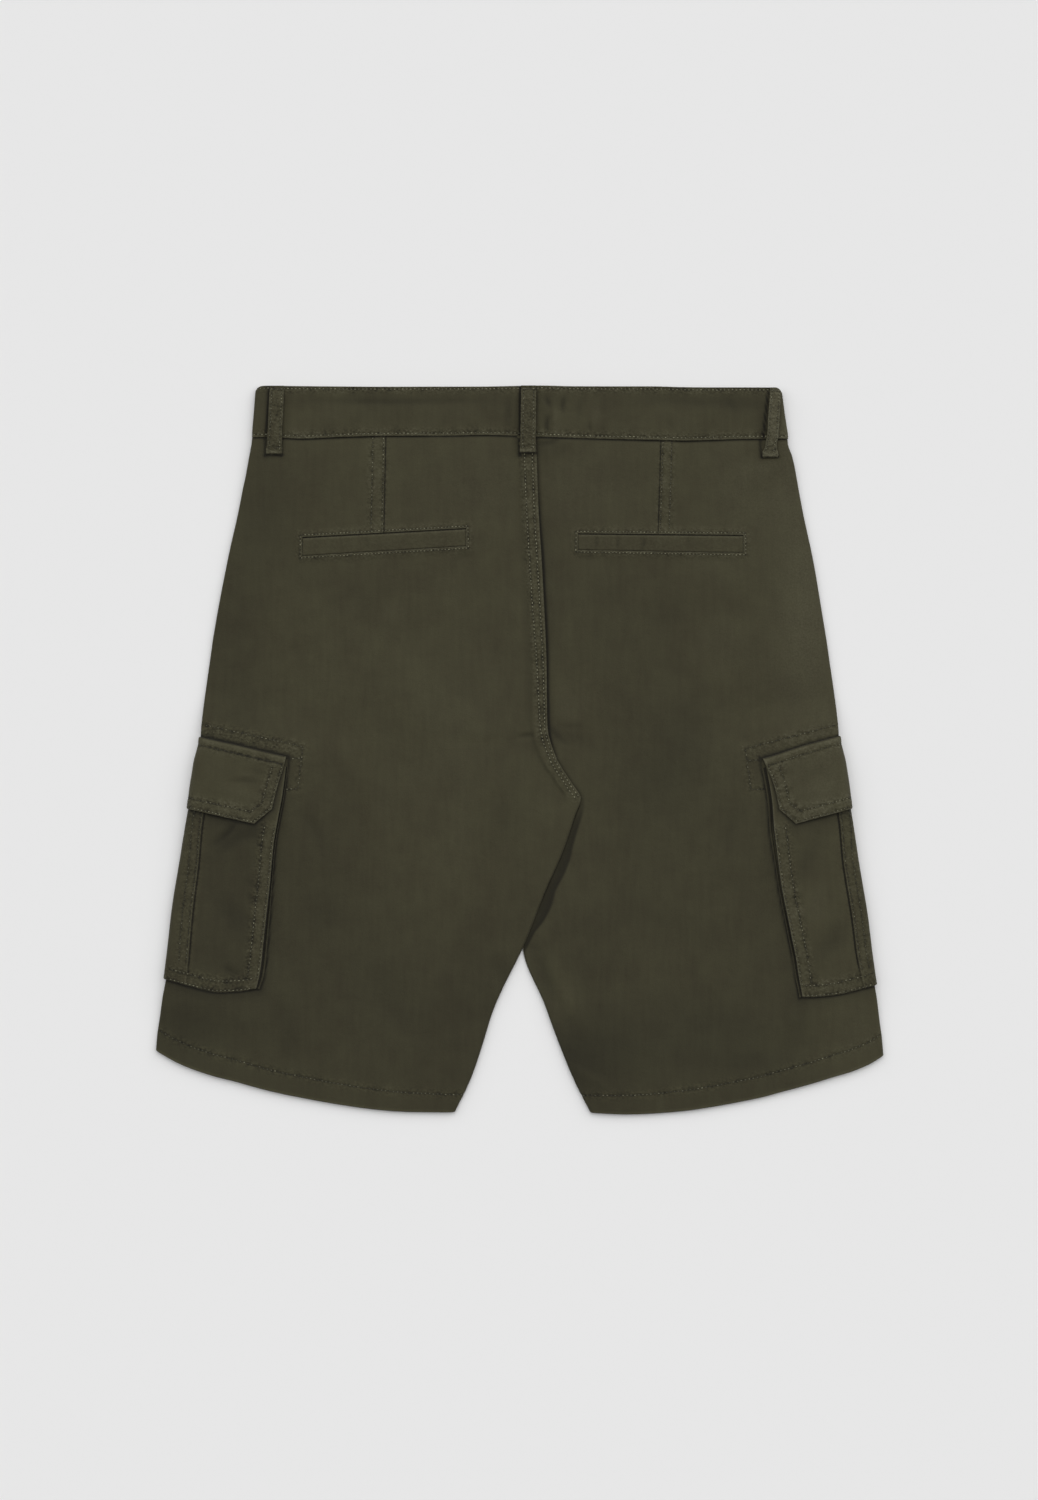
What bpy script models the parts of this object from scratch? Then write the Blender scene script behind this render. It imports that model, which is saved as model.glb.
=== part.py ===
"""Cargo shorts laid flat with the back up.

The garment rests on z = 0 with its front down. +Z is up, +Y runs towards the waist, and -X is the
wearer's left. Every size below is in millimetres; make_piece turns them into metres.

Each leg is a flattened tube. A row of the SECTIONS table is a line across one leg from its outseam
to its inner edge, which is the centre seam down to the crotch and the inseam below it. A panel is a
wall of cloth through those rows, half of the side fold at each end included. What is sewn on a
panel is worked out from the same surfaces, moved out by its own lift.
"""

import math

import bmesh
import bpy
import numpy as np

METRES = 0.001

# Cloth and seams
CLOTH = 1.0
SEAM_GAP = 0.3
LEG_HEIGHT = 4.2  # both layers of a leg and the air between them
FLY_ROOM = 0.75  # more height where the fly and its zip lie inside

# Waistband
BAND_CLOTH = 1.4
BAND_BOTTOM_Y = 242.6
BAND_TOP_Y = 283.6
BAND_HALF_WIDTH_BOTTOM = 208.9
BAND_HALF_WIDTH_TOP = 205.2
BAND_LIFT = 1.4  # the front belt loops lie under it
BAND_FOLD_RADIUS = 2.4
BAND_CENTRE_RISE = 1.4  # the overlap at centre front raises the back half
BAND_OVERLAP = 15.0
BAND_FRONT_COLUMNS = 9
BAND_BACK_COLUMNS = 19
BAND_LAP_SLOPE = (2.0, 12.0)  # past the overlap, the under end comes down between these
PANEL_INSET = 0.1  # the panels' lower side lies this much inside the band's

# Button and zip
BUTTON_DIAMETER = 17.0
BUTTON_THICKNESS = 2.4
BUTTON_Y = 262.0
BUTTON_PROFILE_COLUMNS = ("radius_share", "thickness_share")
BUTTON_PROFILE = (
    (0.0, 0.38),
    (0.55, 0.38),
    (0.68, 0.0),
    (0.92, 0.0),
    (1.0, 0.25),
    (0.94, 0.88),
    (0.8, 1.0),
    (0.0, 1.0),
)
ZIP_TOP_Y = 236.0
ZIP_BOTTOM_Y = 100.0
ZIP_WIDTH = 19.0
ZIP_THICKNESS = 0.9
ZIP_INSET = 0.6

# Belt loops: 12 mm tape, 50 mm long
LOOP_WIDTH = 11.7
LOOP_TOP_Y = 283.2
LOOP_BOTTOM_Y = 231.5
LOOP_CLOTH = 1.2
LOOP_ARCH = 1.5
LOOP_ROWS = (0.0, 0.09, 0.26, 0.5, 0.72, 0.88, 1.0)  # shares of the length, from the top
LOOP_LEAVES_BAND = (0.04, 0.25)
LOOP_MEETS_PANEL = (0.8, 1.0)
FRONT_LOOP_CLOTH = 1.0
LOOP_COLUMNS = ("name", "x_top", "x_bottom", "front")
LOOPS = (
    ("belt_loop_centre_back", 6.9, 6.9, False),
    ("belt_loop_back_left", -189.0, -190.9, False),
    ("belt_loop_back_right", 199.0, 197.5, False),
    ("belt_loop_front_left", -112.0, -114.0, True),
    ("belt_loop_front_right", 128.0, 130.0, True),
)

# Welts of the back pockets: the corners of each, left to right
WELT_CLOTH = 1.0
WELT_POINTS = 8
WELT_COLUMNS = ("name", "x_left", "x_right", "top_left", "top_right", "bottom_left", "bottom_right")
WELTS = (
    ("welt_left", -169.0, -40.3, 166.0, 173.0, 151.4, 159.0),
    ("welt_right", 46.0, 174.0, 168.9, 167.7, 156.0, 153.7),
)

# Rows across a leg, waist to hem. in_x is given for each leg; fold is how far the inner edge turns
# down, 0 on a lapped seam and 1 on a full side fold; back_lap and front_lap are how far the right
# panels reach under the left ones; the rises lift the upper panel of a lap; bow is the row's sag.
SECTION_COLUMNS = (
    "out_x", "out_y", "left_in_x", "right_in_x", "in_y",
    "fold", "back_lap", "front_lap", "front_rise", "back_rise", "bow",
)
SECTIONS = (
    (208.7, 242.3, 13.3, 13.3, 242.3, 0.0, 8.0, 8.0, 1.3, 1.3, 0.0),  # waist
    (219.0, 186.0, 16.5, 16.5, 186.0, 0.0, 8.0, 8.0, 1.3, 1.3, 0.0),  # above the welts
    (226.5, 151.0, 18.1, 18.1, 150.0, 0.0, 8.0, 8.0, 1.3, 1.3, 0.0),  # below the welts
    (238.0, 88.0, 21.2, 21.2, 88.0, 0.0, 8.0, 8.0, 1.3, 1.3, 0.0),  # end of the fly
    (240.5, 69.0, 21.5, 21.5, 69.0, 0.0, 8.0, -0.4, 1.3, 1.3, 0.0),
    (247.3, 18.7, 22.2, 22.2, 18.7, 0.0, 8.0, -0.4, 0.0, 1.3, 0.0),  # above the flaps
    (251.0, -12.0, 28.6, 28.6, -5.0, 0.0, 6.0, -0.4, 0.0, 1.3, 0.0),
    (253.5, -30.0, 41.3, 41.3, -26.0, 0.0, 2.5, -0.4, 0.0, 1.3, 0.0),
    (255.5, -45.0, 48.4, 48.4, -38.0, 0.2, -0.5, -0.5, 0.0, 1.0, 0.0),  # crotch
    (257.5, -57.0, 43.9, 43.9, -51.0, 0.8, -0.5, -0.5, 0.0, 0.3, 0.0),
    (263.0, -92.0, 33.9, 33.9, -79.6, 1.0, -0.5, -0.5, 0.0, 0.0, 0.0),
    (269.0, -128.0, 20.9, 20.9, -109.5, 1.0, -0.5, -0.5, 0.0, 0.0, 0.0),
    (273.5, -165.0, 3.5, 3.5, -153.3, 1.0, -0.5, -0.5, 0.0, 0.0, 3.0),  # the legs part
    (279.0, -205.0, -19.1, 21.0, -199.7, 1.0, 0.0, 0.0, 0.0, 0.0, 8.0),
    (281.8, -222.0, -36.6, 41.7, -251.7, 1.0, 0.0, 0.0, 0.0, 0.0, 12.5),
    (283.2, -234.5, -50.2, 55.9, -281.6, 1.0, 0.0, 0.0, 0.0, 0.0, 15.2),  # hem
)
ROW_SPACING = 26.0
BOW_POWER = 2.6
QUARTER_ANGLES = (0.0, 30.0, 60.0, 90.0)
OUTER_STATIONS = (8.0, 32.0, 62.0, 92.0, 122.0)  # columns this far in from the outseam fold
INNER_STATIONS = (6.0, 10.0, 24.0, 44.0)  # columns this far in from the inner edge's fold
MIDDLE_COLUMNS = 2
LAP_FLAT = 9.0
LAP_SLOPE_END = 13.0
LEG_STEP = 1.2  # between crotch and parting the left inseam lies this much higher, the right lower
LEG_STEP_REACH = (6.0, 42.0)  # the step fades out over this distance in from the inseam
LEG_STEP_STARTS = (-26.0, -62.0)  # in y, from the crotch down
LEG_STEP_ENDS = (-150.0, -205.0)  # in y, round the place where the legs part
WAIST_RAMP = (178.0, 236.0)  # in y: the front rises off the ground to meet the waistband
FLY_RAMP = (45.0, 90.0)  # in y: the extra height of the fly begins
CENTRE_BUMP = (10.0, 62.0)  # distance from the centre over which button and fly lift the waist

# Cargo pockets and flaps. Along is the distance down the outseam, as the y of the point where a
# row leaves it; across is the distance from the outseam along that row, which slopes down inwards.
POCKET_GAP = 0.4
PLEAT_RISE = 0.9  # the pleat band over the outseam stands this far out of the pocket's face
POCKET_TOP = 2.0
POCKET_ROWS = 10
LOWER_FACE_SHARES = (1.0, 0.62)  # columns of the pocket's lower face, as shares of its edge
UPPER_FACE_SHARES = (0.45, 0.68, 0.88)
PLEAT_STEP = 0.5  # the width of the step down at the pleat band's edge
# The rim rounds the face's edge over and drops the gusset to the leg: how far past the edge each
# station lies, how far the wall's inner side lies behind its outer, and the share of the drop.
RIM_COLUMNS = ("past_edge", "wall", "drop")
RIM = (
    (-1.4, 0.4, 0.0),
    (0.0, 1.0, 0.35),
    (0.7, 1.0, 0.8),
    (1.0, 1.0, 1.0),
)
POCKET_PUFF = 2.2
PUFF_STARTS = (0.0, -45.0)  # along, the fullness grows between these below the flap's seam
PUFF_WANES = (-120.0, -172.0)
PUFF_ENDS = (-150.0, -176.0)  # and is gone at the pocket's bottom seam
PUFF_ACROSS = (14.0, 52.0)
PUFF_AT_TOP = 0.25  # the share of the fullness that the pocket keeps at its top
FOLD_ANGLES = (-60.0, -30.0, 0.0, 30.0, 60.0)  # stations round a side fold
FLAP_CLOTH = 1.0
FLAP_GAP = 0.4
FLAP_TOP = 11.0
FLAP_FOLD = 4.0  # where the flap has turned clear of the leg, below its sewn edge
FLAP_BOTTOM = -46.4
FLAP_CLIP_TOP = -32.3
FLAP_OVER_FACE = (26.0, 36.0)  # inward of these the flap lies on the pocket's face, not its pleat
FLAP_ROWS = (0.0, 0.13, 0.32, 0.55, 0.78, 1.0)
FLAP_COLUMNS = (12.0, 24.0, 36.0)
POCKET_SLOPES = {"left": 12.5, "right": 15.0}
POCKET_EDGE_COLUMNS = ("along", "left_edge", "right_edge", "left_pleat", "right_pleat")
POCKET_EDGES = (
    (11.0, 69.0, 60.0, 10.5, 8.0),
    (-20.0, 69.4, 58.5, 10.5, 8.0),
    (-49.0, 68.4, 60.0, 10.5, 8.0),
    (-89.0, 70.6, 61.0, 13.0, 10.0),
    (-126.0, 72.2, 60.0, 14.3, 10.2),
    (-150.0, 72.6, 58.4, 15.0, 10.2),
    (-184.0, 70.6, 58.0, 16.4, 8.4),
)
POCKET_BOTTOM_COLUMNS = ("across_share", "left_bottom", "right_bottom")
POCKET_BOTTOM = (
    (0.0, -179.0, -183.0),
    (0.5, -180.5, -182.4),
    (0.8, -176.5, -180.0),
    (1.0, -171.0, -177.2),
)
FLAP_EDGE_COLUMNS = ("along", "left_edge", "right_edge")
FLAP_EDGES = (
    (11.0, 68.4, 61.2),
    (1.0, 67.2, 58.6),
    (-9.0, 65.4, 56.0),
    (-21.0, 64.0, 54.6),
    (-32.3, 63.2, 53.9),
)
FLAP_CLIP = {"left": 51.0, "right": 42.5}  # where the clipped corner starts on the bottom edge
LIFT_FADE = (78.0, 165.0)  # inward, the lift under a front panel ends between these
LIFT_ABOVE_FLAP = (15.0, 49.0)  # along, the lift ends between these above the flap
LIFT_BELOW_FLAP = (-88.0, -52.0)  # along, the flap's share of the lift ends between these
LIFT_BELOW_POCKET = (-218.0, -186.0)  # along, the whole lift ends between these

FABRIC_COLOUR = (0.052, 0.047, 0.028, 1.0)
TAPE_COLOUR = (0.040, 0.036, 0.024, 1.0)
BUTTON_COLOUR = (0.030, 0.026, 0.018, 1.0)


def ramp(value, start, end):
    """A smooth step from 0 at start to 1 at end."""
    share = np.clip((np.asarray(value, float) - start) / (end - start), 0.0, 1.0)
    return share * share * (3.0 - 2.0 * share)


def column(table, names, name):
    return np.array([row[names.index(name)] for row in table], float)


def section(name):
    return column(SECTIONS, SECTION_COLUMNS, name)


def outseam_x(y):
    """Half the garment's width between the outseam folds at this y."""
    return np.interp(-np.asarray(y, float), -section("out_y"), section("out_x"))


def inner_x(y, side):
    """The inner edge of one leg at this y: the centre seam, and the inseam below the crotch."""
    return np.interp(-np.asarray(y, float), -section("in_y"), section(side + "_in_x"))


def pocket_lift(x, y):
    """How far the pocket and flap under the front panel hold it off the ground."""
    inward = outseam_x(y) - np.abs(x)
    along = y + inward * math.tan(math.radians(sum(POCKET_SLOPES.values()) / 2.0))
    above = 1.0 - ramp(along, *LIFT_ABOVE_FLAP)
    pocket = ramp(along, *LIFT_BELOW_POCKET) * above
    flap = ramp(along, *LIFT_BELOW_FLAP) * above
    stack = (CLOTH + POCKET_GAP + PLEAT_RISE) * pocket + (FLAP_CLOTH + FLAP_GAP) * flap
    return stack * (1.0 - ramp(inward, *LIFT_FADE))


def inseam_zone(y):
    """1 from the crotch to where the legs part, 0 elsewhere."""
    return ramp(y, *LEG_STEP_STARTS) * (1.0 - ramp(y, *LEG_STEP_ENDS))


def centre_bump(x, y):
    """1 over the button and fly at the waist, 0 from 60 mm to the side."""
    return 1.0 - ramp(np.abs(x - inner_x(y, "left")), *CENTRE_BUMP)


def front_under(x, y, side):
    """The underside of the front panels: 0 where they lie on the ground."""
    waist = BAND_LIFT + PANEL_INSET + BAND_CENTRE_RISE * centre_bump(x, y)
    lift = waist * ramp(y, *WAIST_RAMP) + pocket_lift(x, y)
    if side == "left":
        inward = inner_x(y, side) - x
        lift = lift + LEG_STEP * inseam_zone(y) * (1.0 - ramp(inward, *LEG_STEP_REACH))
    return lift


def leg_height(x, y, side):
    """The thickness of the flattened leg, outside to outside."""
    height = LEG_HEIGHT + FLY_ROOM * centre_bump(x, y) * ramp(y, *FLY_RAMP)
    if side == "right":
        inward = x - inner_x(y, side)
        height = height - LEG_STEP * inseam_zone(y) * (1.0 - ramp(inward, *LEG_STEP_REACH))
    return height


def back_top(x, y, side):
    """The upper side of the back panels, without the rise of their lap."""
    return front_under(x, y, side) + leg_height(x, y, side)


def leg_side(x):
    return "left" if x < 13.0 else "right"


def section_rows():
    """The SECTIONS columns with rows added evenly so that none lies over ROW_SPACING apart."""
    step = np.maximum(np.abs(np.diff(section("in_y"))), np.abs(np.diff(section("out_y"))))
    parts = np.maximum(np.ceil(step / ROW_SPACING).astype(int), 1)
    places = np.concatenate(
        [index + np.arange(count) / count for index, count in enumerate(parts)]
        + [[len(SECTIONS) - 1]]
    )
    known = np.arange(len(SECTIONS))
    return {name: np.interp(places, known, section(name)) for name in SECTION_COLUMNS}


def make_piece(name, outer, inner, material):
    """A closed wall between two grids of points, outer and inner, both (rows, columns, 3) in mm."""
    rows, columns = outer.shape[:2]
    count = rows * columns
    grid = np.arange(count).reshape(rows, columns)

    def quads(a, b, c, d):
        return np.stack([a, b, c, d], axis=-1).reshape(-1, 4)

    outside = quads(grid[:-1, :-1], grid[:-1, 1:], grid[1:, 1:], grid[1:, :-1])
    rims = [grid[0], grid[-1], grid[:, 0], grid[:, -1]]
    faces = [outside, outside[:, ::-1] + count]
    faces += [quads(rim[:-1], rim[1:], rim[1:] + count, rim[:-1] + count) for rim in rims]
    points = np.concatenate([outer.reshape(-1, 3), inner.reshape(-1, 3)]) * METRES
    mesh = bpy.data.meshes.new(name)
    mesh.from_pydata(points.tolist(), [], np.concatenate(faces).tolist())
    work = bmesh.new()
    work.from_mesh(mesh)
    bmesh.ops.recalc_face_normals(work, faces=work.faces)
    work.to_mesh(mesh)
    work.free()
    mesh.shade_smooth()
    mesh.set_sharp_from_angle(angle=math.radians(40.0))
    mesh.materials.append(material)
    piece = bpy.data.objects.new(name, mesh)
    bpy.context.scene.collection.objects.link(piece)
    piece.parent = bpy.data.objects["cargo_shorts"]
    return piece


def make_material(name, colour, roughness, metallic=0.0):
    material = bpy.data.materials.new(name)
    material.use_nodes = True
    shader = material.node_tree.nodes["Principled BSDF"]
    shader.inputs["Base Color"].default_value = colour
    shader.inputs["Roughness"].default_value = roughness
    shader.inputs["Metallic"].default_value = metallic
    return material


def panel_surface(side, layer):
    """The outer points and the outward normals of one panel, as grids of rows by columns.

    A row starts halfway down the outseam fold, rises round its quarter circle, runs flat along the
    surface and turns through fold x 90 degrees at the inner edge. The front is the same, turned
    down. Half of the seam gap lies between each quarter circle and the middle of the fold.
    """
    rows = section_rows()
    sign = -1.0 if side == "left" else 1.0
    upward = 1.0 if layer == "back" else -1.0
    lap = rows[layer + "_lap"] if side == "right" else 0.0
    start = np.stack([sign * rows["out_x"], rows["out_y"]], axis=-1)
    end = np.stack([rows[side + "_in_x"] - lap, rows["in_y"]], axis=-1)
    along = end - start
    length = np.linalg.norm(along, axis=1)
    along /= length[:, None]

    angles = np.radians(QUARTER_ANGLES)
    outer_radius = (LEG_HEIGHT - SEAM_GAP) / 2.0
    inner_height = leg_height(end[:, 0], end[:, 1], side)
    inner_radius = (inner_height - SEAM_GAP) / 2.0
    fold = np.maximum(rows["fold"], 1e-3)
    turn = fold[:, None] * angles[None, :]  # the angle turned, from the flat side to the edge
    arc = inner_radius / fold
    fold_reach = arc * np.sin(turn[:, -1])

    flat_start = outer_radius
    flat_end = length - fold_reach
    inner_in = np.array(INNER_STATIONS)[::-1]
    middle_start = flat_start + OUTER_STATIONS[-1]
    middle_end = flat_end - INNER_STATIONS[-1]
    shares = np.arange(1, MIDDLE_COLUMNS + 1) / (MIDDLE_COLUMNS + 1.0)
    place = [outer_radius * (1.0 - np.cos(angle)) + 0.0 * length for angle in angles]
    place += [flat_start + station + 0.0 * length for station in OUTER_STATIONS]
    place += [middle_start + share * (middle_end - middle_start) for share in shares]
    place += [flat_end - station for station in inner_in]
    place += [flat_end + arc * np.sin(turn[:, k]) for k in range(len(angles))]
    place = np.stack(place, axis=1)

    share = place / length[:, None]
    x = start[:, None, 0] + along[:, None, 0] * place
    y = start[:, None, 1] + along[:, None, 1] * place
    y = y - rows["bow"][:, None] * (1.0 - np.abs(2.0 * np.clip(share, 0, 1) - 1.0) ** BOW_POWER)

    surface = back_top(x, y, side) if layer == "back" else front_under(x, y, side)
    z = surface.copy()
    last = len(angles)
    edge_y = rows["out_y"]
    edge = front_under(sign * rows["out_x"], edge_y, side) + LEG_HEIGHT / 2.0
    for k, angle in enumerate(angles):
        z[:, k] = edge + upward * (SEAM_GAP / 2.0 + outer_radius * math.sin(angle))
    flat_level = surface[:, -last]
    for k in range(last):
        drop = arc * (1.0 - np.cos(turn[:, k]))
        z[:, -last + k] = flat_level - upward * drop

    lapped = (side, layer) in (("left", "back"), ("right", "front"))
    if lapped:
        inward = flat_end[:, None] + fold_reach[:, None] - place
        z += rows[layer + "_rise"][:, None] * (1.0 - ramp(inward, LAP_FLAT, LAP_SLOPE_END))

    normal = np.zeros(x.shape + (3,))
    normal[..., 2] = upward
    for k, angle in enumerate(angles):
        normal[:, k, :2] = -along * math.cos(angle)
        normal[:, k, 2] = upward * math.sin(angle)
    for k in range(last):
        normal[:, -last + k, :2] = along * np.sin(turn[:, k])[:, None]
        normal[:, -last + k, 2] = upward * np.cos(turn[:, k])
    return np.stack([x, y, z], axis=-1), normal


def make_panels(material):
    for side in ("left", "right"):
        for layer in ("back", "front"):
            outer, normal = panel_surface(side, layer)
            make_piece(f"{layer}_{side}", outer, outer - CLOTH * normal, material)


def band_under(x, y):
    return BAND_LIFT + BAND_CENTRE_RISE * centre_bump(x, BAND_BOTTOM_Y + 0.0 * y)


def band_top(x, y):
    return band_under(x, y) + 2.0 * BAND_FOLD_RADIUS


def make_waistband(material):
    """One strip: left front end, left side fold, back half, right side fold, right front end."""
    y = np.array([BAND_BOTTOM_Y, (BAND_BOTTOM_Y + BAND_TOP_Y) / 2.0, BAND_TOP_Y])
    half_width = np.interp(
        y, [BAND_BOTTOM_Y, BAND_TOP_Y], [BAND_HALF_WIDTH_BOTTOM, BAND_HALF_WIDTH_TOP]
    )
    centre = float(inner_x(BAND_BOTTOM_Y, "left"))
    flat = half_width - BAND_FOLD_RADIUS
    left_shares = np.linspace(0.0, 1.0, BAND_FRONT_COLUMNS)
    across = np.linspace(0.0, 1.0, BAND_BACK_COLUMNS)
    angles = np.radians(FOLD_ANGLES)
    fold_level = BAND_LIFT + BAND_FOLD_RADIUS
    points, normals = [], []

    def add(x, z, nx, nz):
        points.append(np.stack([x + 0.0 * y, y, z + 0.0 * y], axis=-1))
        normals.append(np.stack([nx + 0.0 * y, 0.0 * y, nz + 0.0 * y], axis=-1))

    for share in left_shares:
        x = (centre + BAND_OVERLAP) * (1.0 - share) - flat * share
        add(x, band_under(x, y), 0.0, -1.0)
    for angle in angles:
        add(
            -flat - BAND_FOLD_RADIUS * math.cos(angle),
            fold_level + BAND_FOLD_RADIUS * math.sin(angle),
            -math.cos(angle),
            math.sin(angle),
        )
    for share in across:
        x = -flat + 2.0 * flat * share
        add(x, band_top(x, y), 0.0, 1.0)
    for angle in angles[::-1]:
        add(
            flat + BAND_FOLD_RADIUS * math.cos(angle),
            fold_level + BAND_FOLD_RADIUS * math.sin(angle),
            math.cos(angle),
            math.sin(angle),
        )
    under_step = BAND_CLOTH + SEAM_GAP
    lap_end = centre + BAND_OVERLAP
    bump_end = centre + CENTRE_BUMP[1]
    slope = [lap_end + distance for distance in BAND_LAP_SLOPE[::-1]]
    for x in [flat, bump_end, (bump_end + slope[0]) / 2.0] + slope + [centre - BAND_OVERLAP]:
        step = under_step * (1.0 - ramp(x - lap_end, *BAND_LAP_SLOPE))
        add(x, band_under(x, y) + step, 0.0, -1.0)
    outer = np.stack(points, axis=1)
    inner = outer - BAND_CLOTH * np.stack(normals, axis=1)
    make_piece("waistband", outer, inner, material)


def make_button(material):
    """A turned sew-through button, dished on its lower side, which is its face."""
    radius = BUTTON_DIAMETER / 2.0 * METRES
    thickness = BUTTON_THICKNESS * METRES
    work = bmesh.new()
    corners = [work.verts.new((share * radius, 0.0, up * thickness)) for share, up in BUTTON_PROFILE]
    edges = [work.edges.new(pair) for pair in zip(corners, corners[1:])]
    bmesh.ops.spin(
        work, geom=corners + edges, axis=(0, 0, 1), cent=(0, 0, 0), angle=math.tau, steps=20,
        use_merge=True,
    )
    bmesh.ops.remove_doubles(work, verts=work.verts, dist=1e-6)
    bmesh.ops.recalc_face_normals(work, faces=work.faces)
    mesh = bpy.data.meshes.new("waist_button")
    work.to_mesh(mesh)
    work.free()
    mesh.shade_smooth()
    mesh.set_sharp_from_angle(angle=math.radians(40.0))
    mesh.materials.append(material)
    button = bpy.data.objects.new("waist_button", mesh)
    bpy.context.scene.collection.objects.link(button)
    button.parent = bpy.data.objects["cargo_shorts"]
    button.location = (float(inner_x(BUTTON_Y, "left")) * METRES, BUTTON_Y * METRES, 0.0)


def make_zip(material):
    """The closed zip's tape, on the inner side of the right front's raised lap."""
    y = section_rows()["in_y"]
    y = y[(y < ZIP_TOP_Y) & (y > ZIP_BOTTOM_Y)]
    edge = inner_x(y, "right") - np.interp(-y, -section("in_y"), section("front_lap"))
    rise = np.interp(-y, -section("in_y"), section("front_rise"))
    inward = np.array([ZIP_INSET, LAP_FLAT, LAP_SLOPE_END, ZIP_WIDTH])
    x = edge[:, None] + inward[None, :]
    grid_y = np.repeat(y[:, None], len(inward), axis=1)
    under = front_under(x, grid_y, "right") + CLOTH + SEAM_GAP
    under = under + rise[:, None] * (1.0 - ramp(inward[None, :], LAP_FLAT, LAP_SLOPE_END))
    inner = np.stack([x, grid_y, under], axis=-1)
    outer = inner + np.array([0.0, 0.0, ZIP_THICKNESS])
    make_piece("fly_zip", outer, inner, material)


def make_loops(material):
    """Back loops arch over the band; front loops lie flat between it and the ground."""
    share = np.array(LOOP_ROWS)
    y = LOOP_TOP_Y - share * (LOOP_TOP_Y - LOOP_BOTTOM_Y)
    arch = LOOP_ARCH * ramp(share, *LOOP_LEAVES_BAND) * (1.0 - ramp(share, *LOOP_MEETS_PANEL))
    across = np.array([-0.5, 0.0, 0.5]) * LOOP_WIDTH
    for name, x_top, x_bottom, front in LOOPS:
        middle = x_top + (x_bottom - x_top) * share
        x = middle[:, None] + across[None, :]
        grid_y = np.repeat(y[:, None], len(across), axis=1)
        if front:
            inner = np.stack([x, grid_y, np.full_like(x, FRONT_LOOP_CLOTH)], axis=-1)
            outer = inner * [1.0, 1.0, 0.0]
        else:
            on_band = band_top(x, grid_y)
            on_panel = back_top(x, grid_y, leg_side(x_top))
            under = np.where(share[:, None] < LOOP_MEETS_PANEL[1], on_band, on_panel)
            if name == "belt_loop_centre_back":
                under = np.maximum(under, on_panel + section("back_rise")[0])
            inner = np.stack([x, grid_y, under + SEAM_GAP + arch[:, None]], axis=-1)
            outer = inner + np.array([0.0, 0.0, LOOP_CLOTH])
        make_piece(name, outer, inner, material)


def make_welts(material):
    for name, x_left, x_right, top_left, top_right, bottom_left, bottom_right in WELTS:
        share = np.linspace(0.0, 1.0, WELT_POINTS)
        x = x_left + (x_right - x_left) * share
        top = top_left + (top_right - top_left) * share
        bottom = bottom_left + (bottom_right - bottom_left) * share
        grid_x = np.stack([x, x])
        grid_y = np.stack([top, bottom])
        surface = back_top(grid_x, grid_y, leg_side(x_left)) + SEAM_GAP
        inner = np.stack([grid_x, grid_y, surface], axis=-1)
        make_piece(name, inner + np.array([0.0, 0.0, WELT_CLOTH]), inner, material)


def wrap(side, along, across, lift, angle, upward):
    """A point on a leg's outside, moved out by lift.

    along is where its row leaves the outseam. Where angle is a number, the point lies on the side
    fold at that angle above its middle; elsewhere it lies across mm in from the outseam, on the
    upper side where upward is 1 and on the lower side where it is -1.
    """
    sign = -1.0 if side == "left" else 1.0
    slope = math.radians(POCKET_SLOPES[side])
    edge_x = outseam_x(along)
    radius = LEG_HEIGHT / 2.0
    on_fold = ~np.isnan(angle)
    turned = np.where(on_fold, angle, 0.0)
    inward = np.where(on_fold, radius - (radius + lift) * np.cos(turned), across)
    x = sign * (edge_x - inward * math.cos(slope))
    y = along - inward * math.sin(slope)
    edge_level = front_under(sign * edge_x, along, side) + radius
    fold_z = edge_level + (radius + lift) * np.sin(turned)
    flat_z = np.where(
        upward > 0, back_top(x, y, side) + lift, front_under(x, y, side) - lift
    )
    return np.stack([x, y, np.where(on_fold, fold_z, flat_z)], axis=-1)


def puff(along, across):
    """How far the filled pocket stands off the leg on its upper side."""
    down = ramp(along, *PUFF_STARTS) * (1.0 - ramp(along, *PUFF_WANES))
    share = PUFF_AT_TOP + (1.0 - PUFF_AT_TOP) * down
    return POCKET_PUFF * share * ramp(across, *PUFF_ACROSS) * (1.0 - ramp(along, *PUFF_ENDS))


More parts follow.
